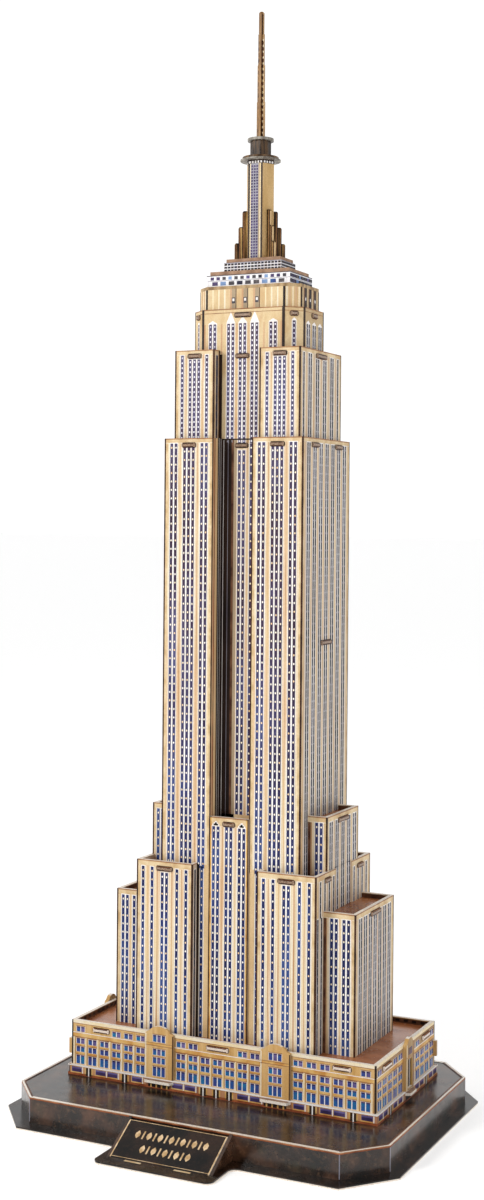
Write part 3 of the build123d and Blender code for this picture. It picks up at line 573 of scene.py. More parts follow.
def dress_metals():
    """The gold, bronze and grey prints: three tints and a number of streaks per metre for each."""
    metals = {
        "attic_trim": ((0.20, 0.12, 0.05), (0.38, 0.25, 0.12), (0.55, 0.40, 0.22), 300.0),
        "mast_gold": ((0.50, 0.32, 0.13), (0.56, 0.37, 0.165), (0.61, 0.42, 0.205), 220.0),
        "mast_bronze": ((0.020, 0.008, 0.003), (0.15, 0.080, 0.026), (0.52, 0.33, 0.12), 900.0),
        "drum_bronze": ((0.008, 0.004, 0.003), (0.022, 0.012, 0.007), (0.11, 0.060, 0.026), 600.0),
        "cap_bronze": ((0.04, 0.020, 0.010), (0.12, 0.068, 0.032), (0.26, 0.155, 0.078), 600.0),
        "mast_grey": ((0.12, 0.10, 0.085), (0.27, 0.25, 0.21), (0.42, 0.39, 0.34), 300.0),
        "antenna_gold": ((0.16, 0.080, 0.028), (0.34, 0.185, 0.070), (0.50, 0.31, 0.13), 500.0),
    }
    nodes = {
        "attic_trim": ["attic_roof"],
        "mast_gold": ["mast_tube"],
        "mast_bronze": ["mast_wings"],
        "drum_bronze": ["mast_drum"],
        "cap_bronze": ["mast_collar_cap"],
        "mast_grey": ["mast_collar", "mast_head"],
        "antenna_gold": ["antenna_front_board", "antenna_cross_board"],
    }
    for name, tints in metals.items():
        dress(nodes[name], bronze(name, *tints))


# ------------------------------------------------------------------ repeated print

def columns(groups):
    """The centre of every window strip, from (group's middle, number of strips)."""
    places = []
    for middle, count in groups:
        places += [middle + (k - (count - 1) / 2) * STRIP_PITCH for k in range(count)]
    return places


def window_group(sheet, face, middle, count, low, high, pointed=0.0, style=BRIGHT):
    """Strips of dark windows on a pale ground, with a mark at every storey."""
    ground, panes, marks, storey = style
    half = ((count - 1) * STRIP_PITCH + STRIP) / 2
    left, right = middle - half - OUTLINE, middle + half + OUTLINE
    if pointed:
        outline = [(left, low), (right, low), (right, high + OUTLINE)]
        outline += [(middle, high + pointed), (left, high + OUTLINE)]
        sheet[ground].shape(face, outline, GROUND)
    else:
        sheet[ground].bar(face, left, right, low, high + OUTLINE, GROUND)
    for centre in columns([(middle, count)]):
        sheet[panes].bar(face, centre - STRIP / 2, centre + STRIP / 2, low, high, PANE)
        height = high - storey / 2
        while height > low + DOT_TALL:
            sheet[marks].dot(face, centre, height, DOT_WIDE, DOT_TALL, MARK)
            height -= storey


def tab_mark(sheet, face, middle, width, roof):
    """The slot round a level plate's tab, painted dark as the shadow in its gap, and the two printed skins
    on the tab's cut end.
    """
    half, centre, tall = width / 2 + SLOT_GAP, roof - BOARD / 2, BOARD / 2 + SLOT_GAP
    outline = [(half - tall / 2, -tall), (half, -tall / 2), (half, tall / 2), (half - tall / 2, tall)]
    outline += [(-u, -v) for u, v in outline]
    sheet["shade"].shape(face, [(middle + u, centre + v) for u, v in outline], SLOT_INK)
    reach = width / 2 - TAB_CORNER
    end = face.lifted(TAB_PROUD)
    for low in (roof - BOARD + SUNK, roof - SKIN - SUNK):
        sheet["fold"].bar(end, middle - reach, middle + reach, low, low + SKIN, WASH)


def parapet_shade(sheet, turn, distance, left, right, low, high):
    """The inner face of a parapet, painted dark umber as shade, which looks that way from that far behind
    the axis.
    """
    sheet["umber"].bar(side(turn, -distance), left, right, low, high - SKIN, WASH)


def group_edges(middle, count):
    half = ((count - 1) * STRIP_PITCH + STRIP) / 2 + OUTLINE
    return middle - half, middle + half


def pier_lines(sheet, face, groups, left, right, low, high):
    """A warm line up each pier between two groups, and a yellow one beside it on a wide pier."""
    stops = [left] + [edge for middle, count in groups for edge in group_edges(middle, count)] + [right]
    for start, end in zip(stops[0::2], stops[1::2]):
        wide = end - start
        if wide < PIER_LEAST:
            continue
        middle = (start + end) / 2
        sheet["pier"].bar(face, middle - wide * 0.08, middle + wide * 0.14, low, high, WASH)
        if wide > PIER_WIDE:
            sheet["glow"].bar(face, middle - wide * 0.36, middle - wide * 0.18, low, high, WASH)


def bay(sheet, face, left, right, groups, low, top, parapet=2.6, lower=None, folds=(True, True),
        style=BRIGHT):
    """One board's face: parapet band, window groups, piers, cap line and dark folded corners.

    lower says how far short of the parapet the groups that far from the middle stop."""
    high = top - parapet
    for middle, count in groups:
        drop = (lower or {}).get(abs(middle), 0.0)
        window_group(sheet, face, middle, count, low, high - drop, style=style)
    pier_lines(sheet, face, groups, left, right, low, high)
    sheet["parapet"].bar(face, left, right, high + OUTLINE, top, WASH)
    sheet["edge"].bar(face, left, right, top - CAP_LINE, top, PANE)
    for folded, outer, sign in ((folds[0], left, 1), (folds[1], right, -1)):
        if folded:
            sheet["fold"].bar(face, outer, outer + sign * FOLD_FRONT, low, top, MARK)
            sheet["parapet"].bar(face, outer, outer + sign * (FOLD_FRONT + EDGE_BAND), low, high, BAND)


def twin_bays(sheet, face, inner, end, groups, low, top, folds=(True, True), **rest):
    """A bay to the right of a face's middle, and its mirror image to the left."""
    bay(sheet, face, inner, end, groups, low, top, folds=folds, **rest)
    mirrored = [(-middle, count) for middle, count in reversed(groups)]
    bay(sheet, face, -end, -inner, mirrored, low, top, folds=folds[::-1], **rest)


# ------------------------------------------------------------------ the tower, tier by tier

def print_shaft():
    (inner, end), (_, depth), (_, top) = span("shaft_right_wall")
    low, roof = head_of("setback_plate"), head_of("shaft_top_plate")
    sheet = Print("shaft")
    middle = (inner + end) / 2
    groups = [(middle - SHAFT_PITCH, 2), (middle, 3), (middle + SHAFT_PITCH, 2)]
    for face in fronts(depth):
        twin_bays(sheet, face, inner, end, groups, low, top, lower={middle: 2.0})
        for sign in (-1, 1):
            tab_mark(sheet, face, sign * middle, SHAFT_TAB, roof)
    groups = [(SHAFT_END_PITCH * k, 2) for k in range(-3, 4)]
    for face in ends(end):
        bay(sheet, face, -depth, depth, groups, low, top, lower={2 * SHAFT_END_PITCH: 2.2}, style=ON_ENDS)
        for sign in (-1, 1):
            tab_mark(sheet, face, sign * SHAFT_END_PLACE, SHAFT_END_TAB, roof)
        tab_mark(sheet, face, 0.0, LONG_TAB, head_of("shaft_middle_plate"))
    print_recess(sheet, inner, depth, top)
    sheet.finish()


def returns(turn, half, depth, core):
    """The walls that face each other across a recess, each with its outer and inner edge."""
    outward = 1 if turn == FRONT else -1
    places = ((RIGHT, -outward), (LEFT, outward))
    return [(side(hand, -half), sign * depth, sign * core) for hand, sign in places]


def print_recess(sheet, half, depth, top):
    """The walls of the front and back recess: the core board and the returns that face each other."""
    core = -span("shaft_front_recess")[1][0]
    floor = head_of("centre_roofs")
    high = top - 0.7
    for turn in (FRONT, BACK):
        face = side(turn, core)
        groups = [(0.0, 2), (6.6, 2)]
        bay(sheet, face, -half, half, groups, floor, top, lower={0.0: 3.4}, folds=(False, False))
        # Painted shadow of the left return over the core's left end, fading through umber and tan, and
        # painted shade in its right corner; the thin lines are pane outlines in that shadow.
        strips = [("umber", -5.6, -4.3), ("niche", -4.3, -2.8)]
        strips += [("shade", -half, -5.6), ("shade", 9.6, half)]
        for ink, start, finish in strips:
            sheet[ink].bar(face, start, finish, floor, high, MARK)
        for ink, start in (("line", -10.2), ("dusk", -7.7)):
            sheet[ink].bar(face, start, start + 0.3, floor, high, SLOT_INK)
        sheet["parapet"].bar(face, -half, half, floor, floor + 2.4, MARK)
        sheet["shade"].bar(face, -half, half, high, top, SLOT_INK)
        tab_mark(sheet, face, 0.0, RECESS_TAB, head_of("shaft_top_plate"))
        for wall, outer, inner in returns(turn, half, depth, core):
            print_return(sheet, wall, outer, inner, floor, top)


def print_return(sheet, wall, outer, inner, low, top):
    """A return: gilt strips about a dark red line at its outer edge, then painted shade over the rest,
    with two thin pale lines of its panes in it.
    """
    sign = 1 if outer > inner else -1
    strips = [("pier", 0.0, 1.3, WASH), ("rust", 1.3, 2.2, WASH), ("honey", 2.2, 4.8, WASH)]
    strips += [("shade", 4.8, abs(outer - inner), WASH), ("line", 6.3, 6.6, GROUND)]
    strips += [("line", 8.4, 8.7, GROUND)]
    for ink, near, far, height in strips:
        sheet[ink].bar(wall, outer - sign * near, outer - sign * far, low, top, height)


def shaded_return(sheet, wall, outer, inner, low, top, style, corner):
    """The shallow return beside a recess: one window strip, and strips of painted shade in the inner
    corner.
    """
    sign = 1 if outer > inner else -1
    sheet["edge"].bar(wall, outer, inner, top - CAP_LINE, top, PANE)
    window_group(sheet, wall, (outer + inner) / 2, 1, low, top - 3.0, style=style)
    sheet["fold"].bar(wall, outer, outer - sign * 0.7, low, top, MARK)
    for ink, reach, height in corner:
        sheet[ink].bar(wall, inner, inner + sign * reach, low, top, height)


def print_upper():
    (inner, end), (_, depth), (_, top) = span("upper_right_wall")
    low, roof = head_of("shaft_top_plate"), head_of("upper_top_plate")
    core = span("crown_back_wall")[1][1]
    sheet = Print("upper")
    middle = (inner + end) / 2
    groups = [(middle - UPPER_PITCH, 1), (middle, 3), (middle + UPPER_PITCH, 1)]
    # Strips of painted shade for the returns' inner corners.
    corner = (("umber", 1.4, PANE), ("shade", 0.7, MARK))
    for turn in (FRONT, BACK):
        face = side(turn, depth)
        twin_bays(sheet, face, inner, end, groups, low, top, lower={middle: 2.2}, style=HIGH_UP)
        tab_mark(sheet, side(turn, core), 0.0, UPPER_CORE_TAB, roof)
        for sign in (-1, 1):
            tab_mark(sheet, face, sign * middle, UPPER_TAB, roof)
        for wall, near, far in returns(turn, inner, depth, core):
            sheet["parapet"].bar(wall, near, far, low, top, WASH)
            shaded_return(sheet, wall, near, far, low, top, DIM_LIT, corner)
    for face in ends(end):
        bay(sheet, face, -depth, depth, UPPER_END_GROUPS, low, top, lower={4.7: 2.2}, style=ON_ENDS)
        tab_mark(sheet, face, 0.0, LONG_TAB, roof)
    sheet.finish()


def crown_lines(sheet, face, half, top):
    """The cap line and the thin groove under it."""
    sheet["edge"].bar(face, -half, half, top - 0.5, top, PANE)
    sheet["edge"].bar(face, -half, half, top - 2.2, top - 1.9, PANE)


def corner_folds(sheet, face, half, low, high, wide):
    for sign in (-1, 1):
        sheet["shade"].bar(face, sign * half, sign * (half - wide), low, high, MARK)


def print_crown():
    sheet = Print("crown")
    depth = span("crown_back_wall")[1][1]
    end = span("crown_right_wall")[0][1]
    floor, bottom = head_of("upper_top_plate"), head_of("shaft_top_plate")
    top = head_of("crown_front_wall")
    recess = span("upper_right_wall")[0][0]
    shoulder = top - 7.6
    for face in fronts(depth):
        for middle, point in ((-CROWN_PITCH, 6.0), (0.0, 3.6), (CROWN_PITCH, 6.0)):
            window_group(sheet, face, middle, 2, bottom, shoulder, point, HIGH_UP)
        for middle in (-CROWN_SIDE, CROWN_SIDE):
            window_group(sheet, face, middle, 2, floor, shoulder, 1.8, HIGH_UP)
        for middle in (-21.5, -11.9, 11.9, 21.5):
            sheet["pier"].bar(face, middle - 0.4, middle + 0.4, floor, shoulder, WASH)
        for middle in (-CROWN_PITCH / 2, CROWN_PITCH / 2):
            sheet["pier"].bar(face, middle - 0.35, middle + 0.35, bottom, shoulder, WASH)
        # Painted shade in the inner corners where the upper tier's returns meet this face.
        for sign in (-1, 1):
            sheet["shade"].bar(face, sign * recess, sign * (recess - 1.4), bottom, floor, MARK)
    corners = corner_faces(CROWN_HALF, depth, end, CROWN_END_HALF)
    edges = [(face, CROWN_HALF, 0.9, CROWN_TAB) for face in fronts(depth)]
    edges += [(face, CROWN_END_HALF, 1.0, CROWN_END_TAB) for face in ends(end)]
    edges += [(face, half, 0.6, CROWN_CORNER_TAB) for face, half in corners]
    for face, half, fold, tab in edges:
        corner_folds(sheet, face, half, floor, top, fold)
        crown_lines(sheet, face, half, top)
        tab_mark(sheet, face, 0.0, tab, head_of("crown_top_plate"))
    for face in ends(end):
        for middle in (-CROWN_END_PITCH, 0.0, CROWN_END_PITCH):
            window_group(sheet, face, middle, 2, floor, shoulder - 0.6, 1.8, ON_ENDS)
    for face, _ in corners:
        window_group(sheet, face, 0.0, 1, floor, shoulder + 0.6, 1.6, HIGH_UP)
    sheet.finish()


def corner_faces(front_half, front, end, end_half):
    """The four slanting faces of an eight- or six-sided ring, each with its half width."""
    faces = []
    for sx in (1, -1):
        for sy in (-1, 1):
            a = Vector((sx * front_half, sy * front, 0))
            b = Vector((sx * end, sy * end_half, 0))
            if sx * sy > 0:
                a, b = b, a
            middle = (a + b) / 2 + Vector(AXIS)
            faces.append((Plane(middle, b - a, (0, 0, 1)), (b - a).length / 2))
    return faces


def print_attic():
    """Plain gilded panels with three shaded niches, each with a small lamp, on every long face and end."""
    sheet = Print("attic")
    (_, end), (_, depth), (_, high) = span("attic_wall")
    low = head_of("crown_top_plate")
    sides = [(face, ATTIC_HALF, 6.6, "niche", "pier") for face in fronts(depth)]
    sides += [(face, ATTIC_END_HALF, 6.0, "shade", "umber") for face in ends(end)]
    for face, reach, pitch, dim, beside in sides:
        for k in (-1, 0, 1):
            niche(sheet, face, k * pitch, dim, beside, low, high)
        step = (reach - pitch * 1.5 - 2.0) / 3
        for k in range(3):
            offset = pitch * 1.5 + 1.6 + k * step
            for sign in (-1, 1):
                sheet["glow"].bar(face, sign * offset - 0.4, sign * offset + 0.4, low, high, WASH)
        corner_folds(sheet, face, reach, low, high, 0.8)
    for face, half in corner_faces(ATTIC_HALF, depth, end, ATTIC_END_HALF):
        for k in range(-2, 3):
            middle = k * half * 0.36
            sheet["pier" if k % 2 else "glow"].bar(face, middle - 0.35, middle + 0.35, low, high, WASH)
        corner_folds(sheet, face, half, low, high, 0.4)
    sheet.finish()


def niche(sheet, face, middle, dim, beside, low, high):
    lamp = head_of("crown_front_wall") + 3.6
    sheet[beside].bar(face, middle - 2.0, middle - 0.9, low, high, WASH)
    sheet[dim].bar(face, middle - 0.9, middle + 1.3, low, high, GROUND)
    sheet["fold"].bar(face, middle + 1.3, middle + 1.7, low, high, GROUND)
    sheet["slate"].bar(face, middle - 0.9, middle + 1.0, lamp - 0.6, lamp + 2.4, PANE)
    sheet["line"].bar(face, middle - 0.5, middle + 0.6, lamp + 0.5, lamp + 1.9, MARK)


def window_row(sheet, colours, face, reach, pitch, wide, low, high):
    """A row of evenly spaced small panes whose colours repeat in turn."""
    count = int(2 * reach // pitch)
    for k in range(count):
        middle = (k - (count - 1) / 2) * pitch
        colour = colours[k % len(colours)]
        sheet[colour].bar(face, middle - wide / 2, middle + wide / 2, low, high, PANE)


def four_faces(node):
    """A box-shaped ring's four faces, each with its half width, and whether it is an end."""
    (_, end), (_, depth), _ = span(node)
    return [(face, end, False) for face in fronts(depth)] + [(face, depth, True) for face in ends(end)]


def print_deck():
    """Two rows of windows round the deck and three round the lantern; dark bands run on the ends."""
    sheet = Print("deck")
    low, high = span("deck_wall")[2]
    for face, reach, is_end in four_faces("deck_wall"):
        for colours, pitch, wide, base, head in DECK_ROWS:
            if is_end:
                sheet["night"].bar(face, -reach, reach, low + base, low + head, GROUND)
            window_row(sheet, colours, face, reach, pitch, wide, low + base, low + head)
        sheet["edge"].bar(face, -reach, reach, low, low + 0.45, PANE)
        sheet["slate"].bar(face, -reach, reach, high - 0.4, high, PANE)
        sheet["dusk"].bar(face, -reach, reach, low + 3.15, low + 3.4, PANE)
    low, high = span("lantern_wall")[2]
    for face, reach, is_end in four_faces("lantern_wall"):
        for k in range(3):
            base = low + 0.45 + k * 1.5
            if is_end:
                sheet["night"].bar(face, -reach, reach, base, base + 1.0, GROUND)
            window_row(sheet, ("shade", "night"), face, reach, 1.9, 1.5, base, base + 1.0)
        sheet["dusk"].bar(face, -reach, reach, high - 0.35, high, PANE)
    sheet.finish()


# ------------------------------------------------------------------ mast and antenna

def mast_strip(sheet, face, low, high):
    """The long window strip up a face of the mast: three columns of small dark panes."""
    left, right = -2.55, 1.7
    sheet["dusk"].bar(face, left, right, low, high, GROUND)
    for middle in (-1.9, -0.45, 1.0):
        height = low + 0.5
        while height < high - 1.2:
            sheet["plum"].bar(face, middle - 0.48, middle + 0.48, height, height + 1.0, MARK)
            height += 1.5
    for ink, start, finish in (("niche", right, 2.5), ("glow", 2.5, 3.1), ("glow", -3.05, left)):
        sheet[ink].bar(face, start, finish, low, high, GROUND)


def print_mast():
    """A window strip and dark folds on the front and back, and a row of white dashes under the collar."""
    sheet = Print("mast", "mast_print")
    (_, point), (_, depth), (low, high) = span("mast_tube")
    faces = [(face, MAST_HALF) for face in fronts(depth)]
    band = high - 1.9
    for face, half in faces:
        mast_strip(sheet, face, low, band)
        corner_folds(sheet, face, half, low, band, 1.0)
    for face, half in faces + corner_faces(MAST_HALF, depth, point, 0.0):
        sheet["shade"].bar(face, -half, half, band, high, GROUND)
        window_row(sheet, ("line",), face, half, 1.6, 0.9, high - 1.7, high - 0.6)
    sheet.finish()


def wing_roots():
    """Where each of the mast's wings meets the mast, and the way that it points."""
    (_, point), (_, depth), _ = span("mast_tube")
    slant = math.atan2(point - MAST_HALF, depth)
    roots = []
    for sx in (1, -1):
        for sy in (1, -1):
            root = Vector(AXIS) + Vector((sx * (MAST_HALF + point) / 2, sy * depth / 2, 0))
            roots.append((root, Vector((sx * math.cos(slant), sy * math.sin(slant), 0))))
    return roots


def print_mast_wings():
    """Dark lines round each step of both faces, a gilt line inside them, and gilded cut edges."""
    sheet = Print("mast_wings", "mast_print")
    low = span("mast_wings")[2][0]
    lines = [("shade", 0.0, 0.45), ("edge", 0.45, 0.8)]
    for root, way in wing_roots():
        for (reach, head), (_, base) in zip(WING_STEPS, WING_STEPS[1:] + ((0.0, low),)):
            edge = Plane(root + way * reach, (-way.y, way.x, 0), (0, 0, 1))
            sheet["honey"].bar(edge, -0.45, 0.45, base, head - WING_CORNER, GROUND)
        for sign in (1, -1):
            face = Plane(root, way * sign, (0, 0, 1)).lifted(WING_THICK / 2)
            for reach, head in WING_STEPS:
                for ink, near, far in lines:
                    u0, u1 = sign * (reach - near), sign * (reach - far)
                    sheet[ink].bar(face, u0, u1, low, head - WING_CORNER, GROUND)
                u0, u1 = sign * (reach - WING_CORNER), sign * (reach - 1.9)
                sheet["shade"].bar(face, u0, u1, head - 0.4, head, MARK)
    sheet.finish()


def print_antenna():
    """A wavy dark band up each half board, with pale gaps beside it, and a dark line up the tip."""
    sheet = Print("antenna", "mast_print")
    _, (_, thick), (low, high) = span("antenna_front_board")
    count = int((high - ANTENNA_TIP - low) // LATTICE)
    for face in fronts(thick) + ends(thick):
        for k in range(count):
            height = low + (k + 0.5) * LATTICE
            for sign in (-1, 1):
                middle = sign * (1.15 if k % 2 else 0.95)
                sheet["fold"].dot(face, middle, height, 0.85, LATTICE * 1.15, PANE)
            sheet["glow"].dot(face, 1.35, height + LATTICE / 2, 0.4, LATTICE * 0.5, MARK)
        sheet["fold"].bar(face, 0.5, 1.2, high - ANTENNA_TIP + 2.0, high - 1.4, PANE)
    sheet.finish()


# ------------------------------------------------------------------ lower setbacks

def print_centre():
    sheet = Print("centre")
    _, (depth, _), (_, top) = span("front_centre_wall")
    half = span("shaft_right_wall")[0][0] + 0.3
    low = head_of("podium_roof")
    shaft_depth = span("shaft_right_wall")[1][1]
    outer = span("front_right_block_wall")[0][0]
    link_top = head_of("front_right_block_wall") - 0.7
    groups = [(CENTRE_PITCH * k, 2) for k in (-1, 0, 1)]
    for turn in (FRONT, BACK):
        face = side(turn, -depth)
        bay(sheet, face, -half, half, groups, low, top, parapet=4.8)
        for middle, _ in groups:
            crest(sheet, face, middle, top - 4.3)
        tab_mark(sheet, face, 0.0, CENTRE_TAB, head_of("centre_roofs"))
        for sign in (-1, 1):
            sheet["gold"].bar(face, sign * half, sign * (half - 1.5), low, top, PANE)
            print_link(sheet, side(turn, shaft_depth), sign, half, outer, low, link_top)
    sheet.finish()


def print_link(sheet, face, sign, inner, outer, low, top):
    """The narrow board between the centre block and a corner block: gold, then one window strip, and
    painted shade in its corner by the corner block.
    """
    window_group(sheet, face, sign * (inner + 4.4), 1, low, top - 1.2)
    for ink, near, far in (("honey", inner, inner + 2.9), ("shade", outer - 1.0, outer)):
        sheet[ink].bar(face, sign * near, sign * far, low, top, MARK)


def crest(sheet, face, middle, low):
    """A stepped white ornament over a pair of windows."""
    for half, rise in ((1.9, 0.8), (1.2, 1.5), (0.5, 2.2)):
        sheet["line"].bar(face, middle - half, middle + half, low, low + rise, MARK)


def print_blocks():
    sheet = Print("blocks")
    (inner, end), (front, inner_end), (_, top) = span("front_right_block_wall")
    depth = -front
    low, roof = head_of("podium_roof"), head_of("setback_plate")
    shaft_depth = span("shaft_right_wall")[1][1]
    middle = (inner + end) / 2
    groups = [(middle + offset, count) for offset, count in BLOCK_GROUPS]
    for turn in (FRONT, BACK):
        face = side(turn, depth)
        twin_bays(sheet, face, inner, end, groups, low, top, parapet=3.3, lower={middle: 2.4})
        for sign in (-1, 1):
            tab_mark(sheet, face, sign * middle, BLOCK_TAB, roof)
            parapet_shade(sheet, turn, depth - BOARD, sign * (inner + BOARD), sign * (end - BOARD), roof, top)
    # The returns get a strip of painted shade in the inner corner, and windows dimmed as painted shade.
    corner = [("shade", 0.7, MARK)]
    for turn in (RIGHT, LEFT):
        for sign in (-1, 1):
            print_block_end(sheet, side(turn, end), sign, depth, -inner_end, top)
            wall = side(turn, -inner)
            shaded_return(sheet, wall, sign * depth, sign * shaft_depth, low, top, PALE_NIGHT, corner)
    sheet.finish()


def print_block_end(sheet, face, sign, depth, inner_end, top):
    """A corner block's outer end: full above the wing's roof, and only its corner below that."""
    low, wing_roof = head_of("podium_roof"), head_of("wing_roofs")
    wing_depth = span("right_wing_wall")[1][1]
    start, finish = sorted((sign * depth, sign * inner_end))
    singles = sorted((sign * (inner_end + 3.0 + 5.6 * k), 1) for k in range(4))
    folds = (sign < 0, sign > 0)
    bay(sheet, face, start, finish, singles, wing_roof, top, parapet=3.3, folds=folds, style=ON_ENDS)
    for k in range(2):
        window_group(sheet, face, sign * (wing_depth + 2.6 + 4.6 * k), 1, low, wing_roof, style=ON_ENDS)
    sheet["fold"].bar(face, sign * depth, sign * (depth - FOLD_SIDE), low, wing_roof, MARK)
    tab_mark(sheet, face, sign * BLOCK_END_PLACE, BLOCK_END_TAB, head_of("setback_plate"))


def wing_fronts(sheet, node, start, groups, low, roof):
    """A wing's two long sides, left and right of the tower, with painted shade where they meet it and on
    the parapets' inner faces.
    """
    (_, end), (_, depth), (_, top) = span(node)
    for turn in (FRONT, BACK):
        face = side(turn, depth)
        twin_bays(sheet, face, start, end, groups, low, top, (False, True), parapet=3.0)
        for sign in (-1, 1):
            # Painted shade in a strip where the wing meets the tower.
            sheet["umber"].bar(face, sign * start, sign * (start + 1.5), low, top - 3.0, MARK)
            parapet_shade(sheet, turn, depth - BOARD, sign * start, sign * (end - BOARD), roof, top)


def wing_ends(sheet, node, groups, low, roof):
    (_, end), (_, depth), (_, top) = span(node)
    for turn in (RIGHT, LEFT):
        face = side(turn, end)
        bay(sheet, face, -depth, depth, groups, low, top, 3.0, {0.0: 2.2}, style=ON_ENDS)
        tab_mark(sheet, face, 0.0, LONG_TAB, roof)
        parapet_shade(sheet, turn, end - BOARD, BOARD - depth, depth - BOARD, roof, top)


def print_wings():
    sheet = Print("wings")
    node, low, roof = "right_wing_wall", head_of("podium_roof"), head_of("wing_roofs")
    start = span("front_right_block_wall")[0][1]
    wing_fronts(sheet, node, start, WING_GROUPS, low, roof)
    wing_ends(sheet, node, [(WING_END_PITCH * k, 2) for k in range(-3, 4)], low, roof)
    sheet.finish()


def print_upper_wings():
    sheet = Print("upper_wings")
    node, roof = "right_upper_wing_wall", head_of("upper_wing_roofs")
    block_top, wing_roof = head_of("front_right_block_wall"), head_of("wing_roofs")
    start = span("shaft_right_wall")[0][1]
    wing_fronts(sheet, node, start, UPPER_WING_GROUPS, head_of("setback_plate"), roof)
    groups = [(UPPER_WING_END_PITCH * k, 2) for k in range(-2, 3)]
    wing_ends(sheet, node, groups, block_top, roof)
    for face in ends(span(node)[0][1]):
        for middle, count in groups[1:4]:
            window_group(sheet, face, middle, count, wing_roof, block_top, style=ON_ENDS)
        pier_lines(sheet, face, groups[1:4], -10.5, 10.5, wing_roof, block_top)
    sheet.finish()


# ------------------------------------------------------------------ podium

def pane_set(sheet, face, middle, count, row, wide=PANE_WIDE):
    """Side-by-side panes with white glazing bars, a warm lintel and a violet upper edge."""
    low, high, ink = row
    pitch = wide + PANE_GAP
    half = (count * pitch - PANE_GAP) / 2 + 0.25
    sheet["line"].bar(face, middle - half, middle + half, low - 0.1, high + 0.1, GROUND)
    sheet["edge"].bar(face, middle - half, middle + half, high + 0.1, high + 0.5, GROUND)
    for k in range(count):
        centre = middle + (k - (count - 1) / 2) * pitch
        colour = ink if k % 2 else "pane"
        sheet[colour].bar(face, centre - wide / 2, centre + wide / 2, low, high, PANE)
        sheet["plum"].bar(face, centre - wide / 2, centre + wide / 2, high - 0.7, high, MARK)


def podium_run(sheet, face, left, right, centres, tabs):
    """One stretch of podium wall: four rows of windows, spandrels, pilasters, cornice and parapet."""
    top = head_of("podium_front_right_wall")
    half = PANE_WIDE + PANE_GAP
    for middle in centres:
        clear = all(abs(middle - place) > width / 2 + TAB_CLEAR for place, width in tabs)
        for row in ROWS:
            if clear or row[0] < CORNICE[0]:
                pane_set(sheet, face, middle, 2, row)
        for lower, upper in zip(ROWS[:2], ROWS[1:3]):
            sheet["gold"].bar(face, middle - half, middle + half, lower[1] + 0.5, upper[0] - 0.1, WASH)
    piers = [(a + b) / 2 for a, b in zip(centres, centres[1:])]
    for pier in piers + [centres[0] - PAIR_PITCH / 2, centres[-1] + PAIR_PITCH / 2]:
        if left + 0.5 < pier < right - 0.5:
            sheet["glow"].bar(face, pier - 0.75, pier - 0.1, STREET_TOP, CORNICE[0], WASH)
            sheet["edge"].bar(face, pier + 0.35, pier + 0.6, STREET_TOP, CORNICE[0], WASH)
    sheet["gold"].bar(face, left, right, *CORNICE, GROUND)
    sheet["edge"].bar(face, left, right, CORNICE[0] - 0.35, CORNICE[0], PANE)
    sheet["line"].bar(face, left, right, CORNICE[1], CORNICE[1] + 0.3, PANE)
    sheet["glow"].bar(face, left, right, top - 1.5, top, GROUND)
    sheet["edge"].bar(face, left, right, top - 1.8, top - 1.5, PANE)


def twin_runs(sheet, face, start, end, centres, tabs):
    """A stretch of podium wall to the right of a face's middle, and its mirror image."""
    podium_run(sheet, face, start, end, centres, tabs)
    podium_run(sheet, face, -end, -start, [-centre for centre in reversed(centres)], tabs)


def print_podium():
    sheet = Print("podium")
    (_, end), (_, depth), (_, roof) = span("podium_roof")
    end, depth = end - TAB_PROUD, depth - TAB_PROUD
    top = head_of("podium_front_right_wall")
    gate = PORTAL_MIDDLE - PORTAL_HALF
    centre = [MIDDLE_PITCH * k for k in range(-3, 4)]
    outer = [FIRST_PAIR + PAIR_PITCH * k for k in range(6)]
    at_ends = [FIRST_END_PAIR + PAIR_PITCH * k for k in range(5)]
    for turn in (FRONT, BACK):
        face = side(turn, depth)
        podium_run(sheet, face, -gate, gate, centre, PODIUM_TABS)
        twin_runs(sheet, face, PORTAL_MIDDLE + PORTAL_HALF, end, outer, PODIUM_TABS)
        dress_wall_ends(sheet, turn, face, end, depth, PODIUM_TABS, roof, top)
    for turn in (RIGHT, LEFT):
        face = side(turn, end)
        twin_runs(sheet, face, END_PORTAL_HALF, depth, at_ends, PODIUM_END_TABS)
        dress_wall_ends(sheet, turn, face, depth, end, PODIUM_END_TABS, roof, top)
    sheet.finish()


def dress_wall_ends(sheet, turn, face, reach, distance, tabs, roof, top):
    """A podium wall's folded corners, its tabs, and the windows inside its parapet, near black under
    painted shade.
    """
    corner_folds(sheet, face, reach, STREET_TOP, top, FOLD_FRONT)
    for place, width in tabs:
        tab_mark(sheet, face, place, width, roof)
    inside = reach - BOARD
    parapet_shade(sheet, turn, distance - BOARD, -inside, inside, roof, top)
    window_row(sheet, ("shade",), side(turn, BOARD - distance), inside, 4.6, 2.2, roof + 0.7, top - 0.9)


